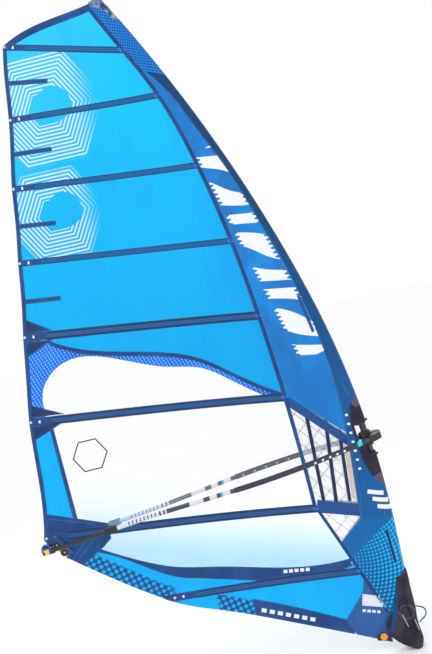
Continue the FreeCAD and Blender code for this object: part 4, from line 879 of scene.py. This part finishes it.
dark_cloth = cloth_weave("gusset_cloth", linear(30, 62, 108), linear(24, 50, 92), 0.004)
GUSSETS = [
    [(-2.066, 2.592), (-2.048, 2.690), (-1.880, 2.574)], [(-2.079, 2.536), (-2.096, 2.430), (-1.890, 2.514)],
    [(-2.157, 2.045), (-2.144, 2.130), (-1.930, 2.018)], [(-2.166, 1.983), (-2.172, 1.885), (-1.960, 1.962)],
]
for number, points in enumerate(GUSSETS, start=1):
    patch(f"leech_gusset_{number}", points, dark_cloth, "navy_cloth")
patch("leech_strip_band", [(-2.046, 1.948), (-2.022, 1.948), (-2.006, 1.318), (-2.034, 1.324)],
      navy, "navy_cloth")
patch("tack_label", [(-0.275, 0.406), (-0.156, 0.367), (-0.139, 0.288), (-0.295, 0.330)],
      cloth_weave("label_cloth", WHITE, linear(222, 226, 236), 0.002), "sleeve_cloth", half=0.0030)


def lathe(name, profile, place, material, count=40):
    """A ring turned round an axis across the sail, closed on itself: profile is (radius, across) pairs."""
    points, faces = [], []
    size = len(profile)
    for turn in range(count):
        angle = 2 * math.pi * turn / count
        for radius, across in profile:
            spoke = (radius * math.cos(angle), across, radius * math.sin(angle))
            points.append(tuple(a + b for a, b in zip(place, spoke)))
        for i in range(size):
            a, b = turn * size + i, turn * size + (i + 1) % size
            c, d = ((turn + 1) % count) * size + (i + 1) % size, ((turn + 1) % count) * size + i
            faces.append((a, b, c, d))
    mesh = closed_mesh(name, points, faces)
    mesh.shade_smooth()
    add_piece(name, mesh, material)


RING = [(0.0045, -0.003), (0.006, -0.0042), (0.009, -0.0042), (0.011, -0.003),
        (0.011, 0.003), (0.009, 0.0042), (0.006, 0.0042), (0.0045, 0.003)]
lathe("tack_eyelet", RING, (-0.236, camber(-0.236, 0.481), 0.481),
      metal("eyelet_metal", linear(96, 98, 106), 0.35))

TOGGLE = [(0.002, -0.006), (0.006, -0.006), (0.008, -0.004), (0.008, 0.004), (0.006, 0.006), (0.002, 0.006)]
toggle_plastic = plastic("toggle_plastic", linear(30, 30, 36))
TOGGLES = [("cover_toggle_upper", (-0.004, 0.0, 1.553)), ("cover_toggle_lower", (0.018, 0.0, 1.319))]
for name, place in TOGGLES:
    lathe(name, TOGGLE, place, toggle_plastic)


# -------------------- stitching
THREAD, GAP, INSET = 0.006, 0.004, 0.006
thread = cloth_weave("thread", linear(120, 162, 212), linear(92, 134, 190), 0.001)


def stitch(points, faces, start, end, out, width):
    """One raised stitch from start to end, standing along out."""
    run = (end - start).normalized()
    side = run.cross(out).normalized() * width
    first = len(points)
    for place in (start, end):
        points += [tuple(place - side), tuple(place + out * 0.0006), tuple(place + side)]
    a, b, c, d, e, f = range(first, first + 6)
    faces += [(a, b, e, d), (b, c, f, e), (a, d, f, c), (a, c, b), (d, e, f)]


def thread_ends(runs, pitch, length):
    """Both ends of each stitch along runs of points in the sail's plane, that far apart and that long."""
    for run in runs:
        for (ax, az), (bx, bz) in zip(run, run[1:]):
            size = math.hypot(bx - ax, bz - az)
            for i in range(int(size / pitch)):
                shares = (i * pitch / size, (i * pitch + length) / size)
                yield [(ax + (bx - ax) * share, az + (bz - az) * share) for share in shares]


def thread_piece(name, points, faces):
    add_piece(name, closed_mesh(name, points, faces), thread)


def edge_stitches(name, cuts, width):
    """Rows of stitches just inside the cut edges of the bands, tapes and pockets, on both sides."""
    points, faces = [], []
    for edges, half in cuts:
        for (ax, az), (bx, bz) in edges:
            size = math.hypot(bx - ax, bz - az)
            count = int(size / (THREAD + GAP))
            if not count:
                continue
            ux, uz = (bx - ax) / size, (bz - az) / size
            nx, nz = -uz, ux
            middle = np.array([((ax + bx) / 2 + nx * INSET, (az + bz) / 2 + nz * INSET)])
            if not inside(middle, edges)[0]:
                nx, nz = uz, -ux
            for i in range(count):
                run = (i + 0.2) * size / count
                x0, z0 = ax + ux * run + nx * INSET, az + uz * run + nz * INSET
                for side in (-1, 1):
                    y = camber(x0, z0) + side * (half + 0.0001)
                    stitch(points, faces, Vector((x0, y, z0)),
                           Vector((x0 + ux * THREAD, y, z0 + uz * THREAD)),
                           Vector((0, side, 0)), width)
    thread_piece(name, points, faces)


edge_stitches("stitching", [(edges, 0.0016 if half < 0.002 else half + 0.0002)
                            for edges, half in CUTS if half > FILM and len(edges) < 900], 0.0006)

CLEW_ROWS = [
    [(-2.18, 1.36), (-1.90, 1.255)], [(-2.10, 1.06), (-1.95, 1.20), (-1.86, 1.16)],
    [(-2.14, 1.11), (-2.00, 1.23), (-1.88, 1.19)], [(-2.06, 1.05), (-1.92, 1.17)],
]
points, faces = [], []
for ends in thread_ends(CLEW_ROWS, 0.012, 0.009):
    for side in (-1, 1):
        start, end = (Vector((x, camber(x, z) + side * 0.0019, z)) for x, z in ends)
        stitch(points, faces, start, end, Vector((0, side, 0)), 0.0009)
thread_piece("clew_stitching", points, faces)


# -------------------- the sleeve and the boot: cloth walls from their shells
def shell_node(node, material, folds=0.0):
    """A copy of a shell's mesh, so that it keeps its place, with soft folds of the depth given."""
    mesh = nodes[node].data.copy()
    mesh.name = node + "_cloth"
    if folds:
        work = bmesh.new()
        work.from_mesh(mesh)
        bmesh.ops.remove_doubles(work, verts=work.verts, dist=1e-5)
        work.normal_update()
        moves = []
        for vertex in work.verts:
            p = vertex.co
            wave = math.sin(p.z * 95 + p.x * 60) + 0.6 * math.sin(p.z * 210 - p.x * 140 + 1.3)
            moves.append(folds * wave / 1.6 * min(1.0, abs(p.y) / 0.02))
        for vertex, move in zip(work.verts, moves):
            vertex.co.y += math.copysign(move, vertex.co.y)
        work.to_mesh(mesh)
        work.free()
    piece = add_piece(node + "_cloth", mesh, material)
    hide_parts(node)
    return piece


side_cloth = sleeve_side_cloth()
SLEEVE = (
    ("sleeve_port", side_cloth, "sleeve_film"), ("sleeve_starboard", side_cloth, "sleeve_film"),
    ("sleeve_front", sleeve_front_cloth(), "sleeve_cloth"), ("sleeve_lower", sleeve_dots(), "sleeve_cloth"),
    ("sleeve_windows", scrim(), "clear_film"), ("head_cap", crinkled_film(), "clear_film"),
    ("cutout_cover", neoprene(), "neoprene"),
)
for node, material, slot in SLEEVE:
    piece = shell_node(node, material)

boot = shell_node("tack_boot", boot_neoprene(), folds=0.0012)


def surface_point(tree, x, z, side):
    """Where a line across the sail at (x, z) first meets a surface, coming from that side."""
    place, normal, _, _ = tree.ray_cast(Vector((x, side * 1.0, z)), Vector((0, -side, 0)))
    return place, normal


def piping(name, piece, run, side, radius, material):
    """A rounded cord sewn along a run of points on a surface."""
    tree = BVHTree.FromObject(piece, bpy.context.evaluated_depsgraph_get())
    places = [surface_point(tree, x, z, side)[0] for x, z in run]
    curve = bpy.data.curves.new(name, "CURVE")
    curve.dimensions = "3D"
    curve.bevel_depth = radius
    curve.bevel_resolution = 3
    spline = curve.splines.new("POLY")
    found = [p for p in places if p is not None]
    spline.points.add(len(found) - 1)
    for point, place in zip(spline.points, found):
        point.co = (*place, 1.0)
    path = bpy.data.objects.new(name, curve)
    scene.collection.objects.link(path)
    bpy.context.view_layer.update()
    mesh = bpy.data.meshes.new_from_object(path.evaluated_get(bpy.context.evaluated_depsgraph_get()))
    bpy.data.objects.remove(path)
    mesh.name = name
    mesh.shade_smooth()
    add_piece(name, mesh, material)


def eased(points, step):
    """A run of points through the corners given, a step apart."""
    out = []
    for (ax, az), (bx, bz) in zip(points, points[1:]):
        count = max(1, round(math.hypot(bx - ax, bz - az) / step))
        out += [(ax + (bx - ax) * i / count, az + (bz - az) * i / count) for i in range(count)]
    return out + [points[-1]]


black_cord = cloth_weave("piping_cloth", linear(24, 23, 30), linear(12, 12, 16), 0.002, 0.7)
BOOT_EDGE = [(-0.040, 0.500), (-0.070, 0.430), (-0.098, 0.330), (-0.122, 0.225), (-0.150, 0.150)]
BOOT_SEAM = [(0.010, 0.480), (-0.018, 0.380), (-0.010, 0.300), (0.004, 0.200), (0.012, 0.110)]
for side, word in ((-1, "starboard"), (1, "port")):
    for number, run in enumerate((BOOT_EDGE, BOOT_SEAM), start=1):
        piping(f"boot_piping_{word}_{number}", boot, eased(run, 0.008), side, 0.0022, black_cord)


def surface_stitches(name, nodes_under, runs, pitch=0.014, length=0.009, width=0.0008):
    """Rows of stitches laid along runs of points on the sleeve, on both of its sides."""
    points, faces = [], []
    trees = [BVHTree.FromObject(bpy.data.objects[node + "_cloth"], bpy.context.evaluated_depsgraph_get())
             for node in nodes_under]
    for ends in thread_ends(runs, pitch, length):
        for side in (-1, 1):
            found = []
            for x, z in ends:
                hits = [surface_point(tree, x, z, side) for tree in trees]
                hits = [h for h in hits if h[0] is not None]
                if hits:
                    found.append(max(hits, key=lambda h: side * h[0].y))
            if len(found) < 2 or (found[0][0] - found[1][0]).length > 2 * length:
                continue
            (start, out), (end, _) = found
            stitch(points, faces, start + out * 0.0003, end + out * 0.0003, out, width)
    thread_piece(name, points, faces)


CAM_ARCS = [
    [(-0.045, 1.86), (-0.085, 1.87), (-0.105, 1.83), (-0.095, 1.76), (-0.070, 1.73)],
    [(0.022, 0.985), (-0.010, 0.990), (-0.024, 0.965), (-0.020, 0.900), (0.000, 0.880)],
]
surface_stitches("sleeve_stitching", [node for node, _, _ in SLEEVE], [
    [(x + 0.008, z) for x, z in FRONT_SEAM], *CAM_ARCS,
    [(-0.140, 1.428), (-0.150, 1.06), (-0.172, 0.930), (-0.325, 0.785)],
    [(-0.325, 0.785), (-0.150, 0.330)],
])


# -------------------- the outhaul rope, which crosses the boom tail's slide
rope = rope_fibre()
outhaul = nodes["outhaul_line"]
rope_mesh = outhaul.data.copy()
rope_mesh.materials.clear()
rope_mesh.materials.append(rope)
outhaul_rope = bpy.data.objects.new("outhaul_rope", rope_mesh)
scene.collection.objects.link(outhaul_rope)
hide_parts("outhaul_line")
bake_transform(outhaul_rope)

# -------------------- materials of the CAD nodes that stay
black = plastic("black_plastic", linear(26, 27, 31))
BLACK_NODES = (
    "extension_base", "extension_collar", "camber_inducers", "head_clamp", "clamp_lever", "boom_front_end",
    "tail_collars", "tail_lock_port", "tail_lock_starboard", "clew_roller", "base_sheaves", "tack_sheaves",
)
tube = carbon()
arm = boom_arm()
steel = metal("steel", linear(190, 190, 194), 0.3)
tack_black = tack_plastic()
looks = {name: black for name in BLACK_NODES}
looks.update({
    "mast_base_section": tube, "mast_top_section": tube, "mast_ferrule": tube,
    "boom_arm_port": arm, "boom_arm_starboard": arm, "boom_tail": boom_tail(),
    "extension_tube": metal("extension_metal", linear(176, 180, 186), 0.35),
    "boom_grips": grip(), "tail_end_fitting": tail_fitting(), "tail_roller": roller_plastic(),
    "tack_block": tack_black, "tack_buckle": tack_black,
    "sheave_axles": steel, "tensioner_screws": steel, "head_pivot_pin": steel, "downhaul_line": rope,
    "tack_webbing": cloth_weave("black_webbing", linear(30, 30, 34), linear(18, 18, 22), 0.002, 0.8),
    "full_battens": plastic("batten_rod", linear(10, 96, 206), 0.4),
    "batten_tensioners": tensioner_plastic(), "clew_block": clew_plastic(),
})
for name, material in looks.items():
    mesh = nodes[name].data
    mesh.materials.clear()
    mesh.materials.append(material)
shown = {name for name, piece in nodes.items() if not piece.hide_render}
unpainted = shown - set(looks)
if unpainted:
    raise RuntimeError(f"CAD nodes still in their plain material: {sorted(unpainted)}")

# -------------------- floor and light
low, high = cad_box
mesh = bpy.data.meshes.new("floor")
mesh.from_pydata([(-30, -30, 0), (30, -30, 0), (30, 30, 0), (-30, 30, 0)], [], [(0, 1, 2, 3)])
floor = bpy.data.objects.new("floor", mesh)
floor.location.z = low.z - 0.002
scene.collection.objects.link(floor)
pale = Shade("pale_floor", roughness=0.95)
mesh.materials.append(pale.finish(pale.mix(pale.noise(2, 2), linear(250, 250, 251), linear(254, 254, 254))))

world = bpy.data.worlds.new("studio")
world.use_nodes = True
world.node_tree.nodes["Background"].inputs[0].default_value = (1, 1, 1, 1)
world.node_tree.nodes["Background"].inputs[1].default_value = 1.0
scene.world = world


def area_light(name, place, size, power):
    data = bpy.data.lights.new(name, "AREA")
    data.size = size
    data.energy = power
    light = bpy.data.objects.new(name, data)
    light.location = place
    light.rotation_euler = (TARGET - Vector(place)).to_track_quat("-Z", "Y").to_euler()
    scene.collection.objects.link(light)


area_light("key", (-3.5, -5.0, 6.0), 4.0, 80)
area_light("fill", (3.5, -4.0, 2.5), 4.0, 24)
area_light("back", (-1.0, 5.0, 4.0), 4.0, 60)
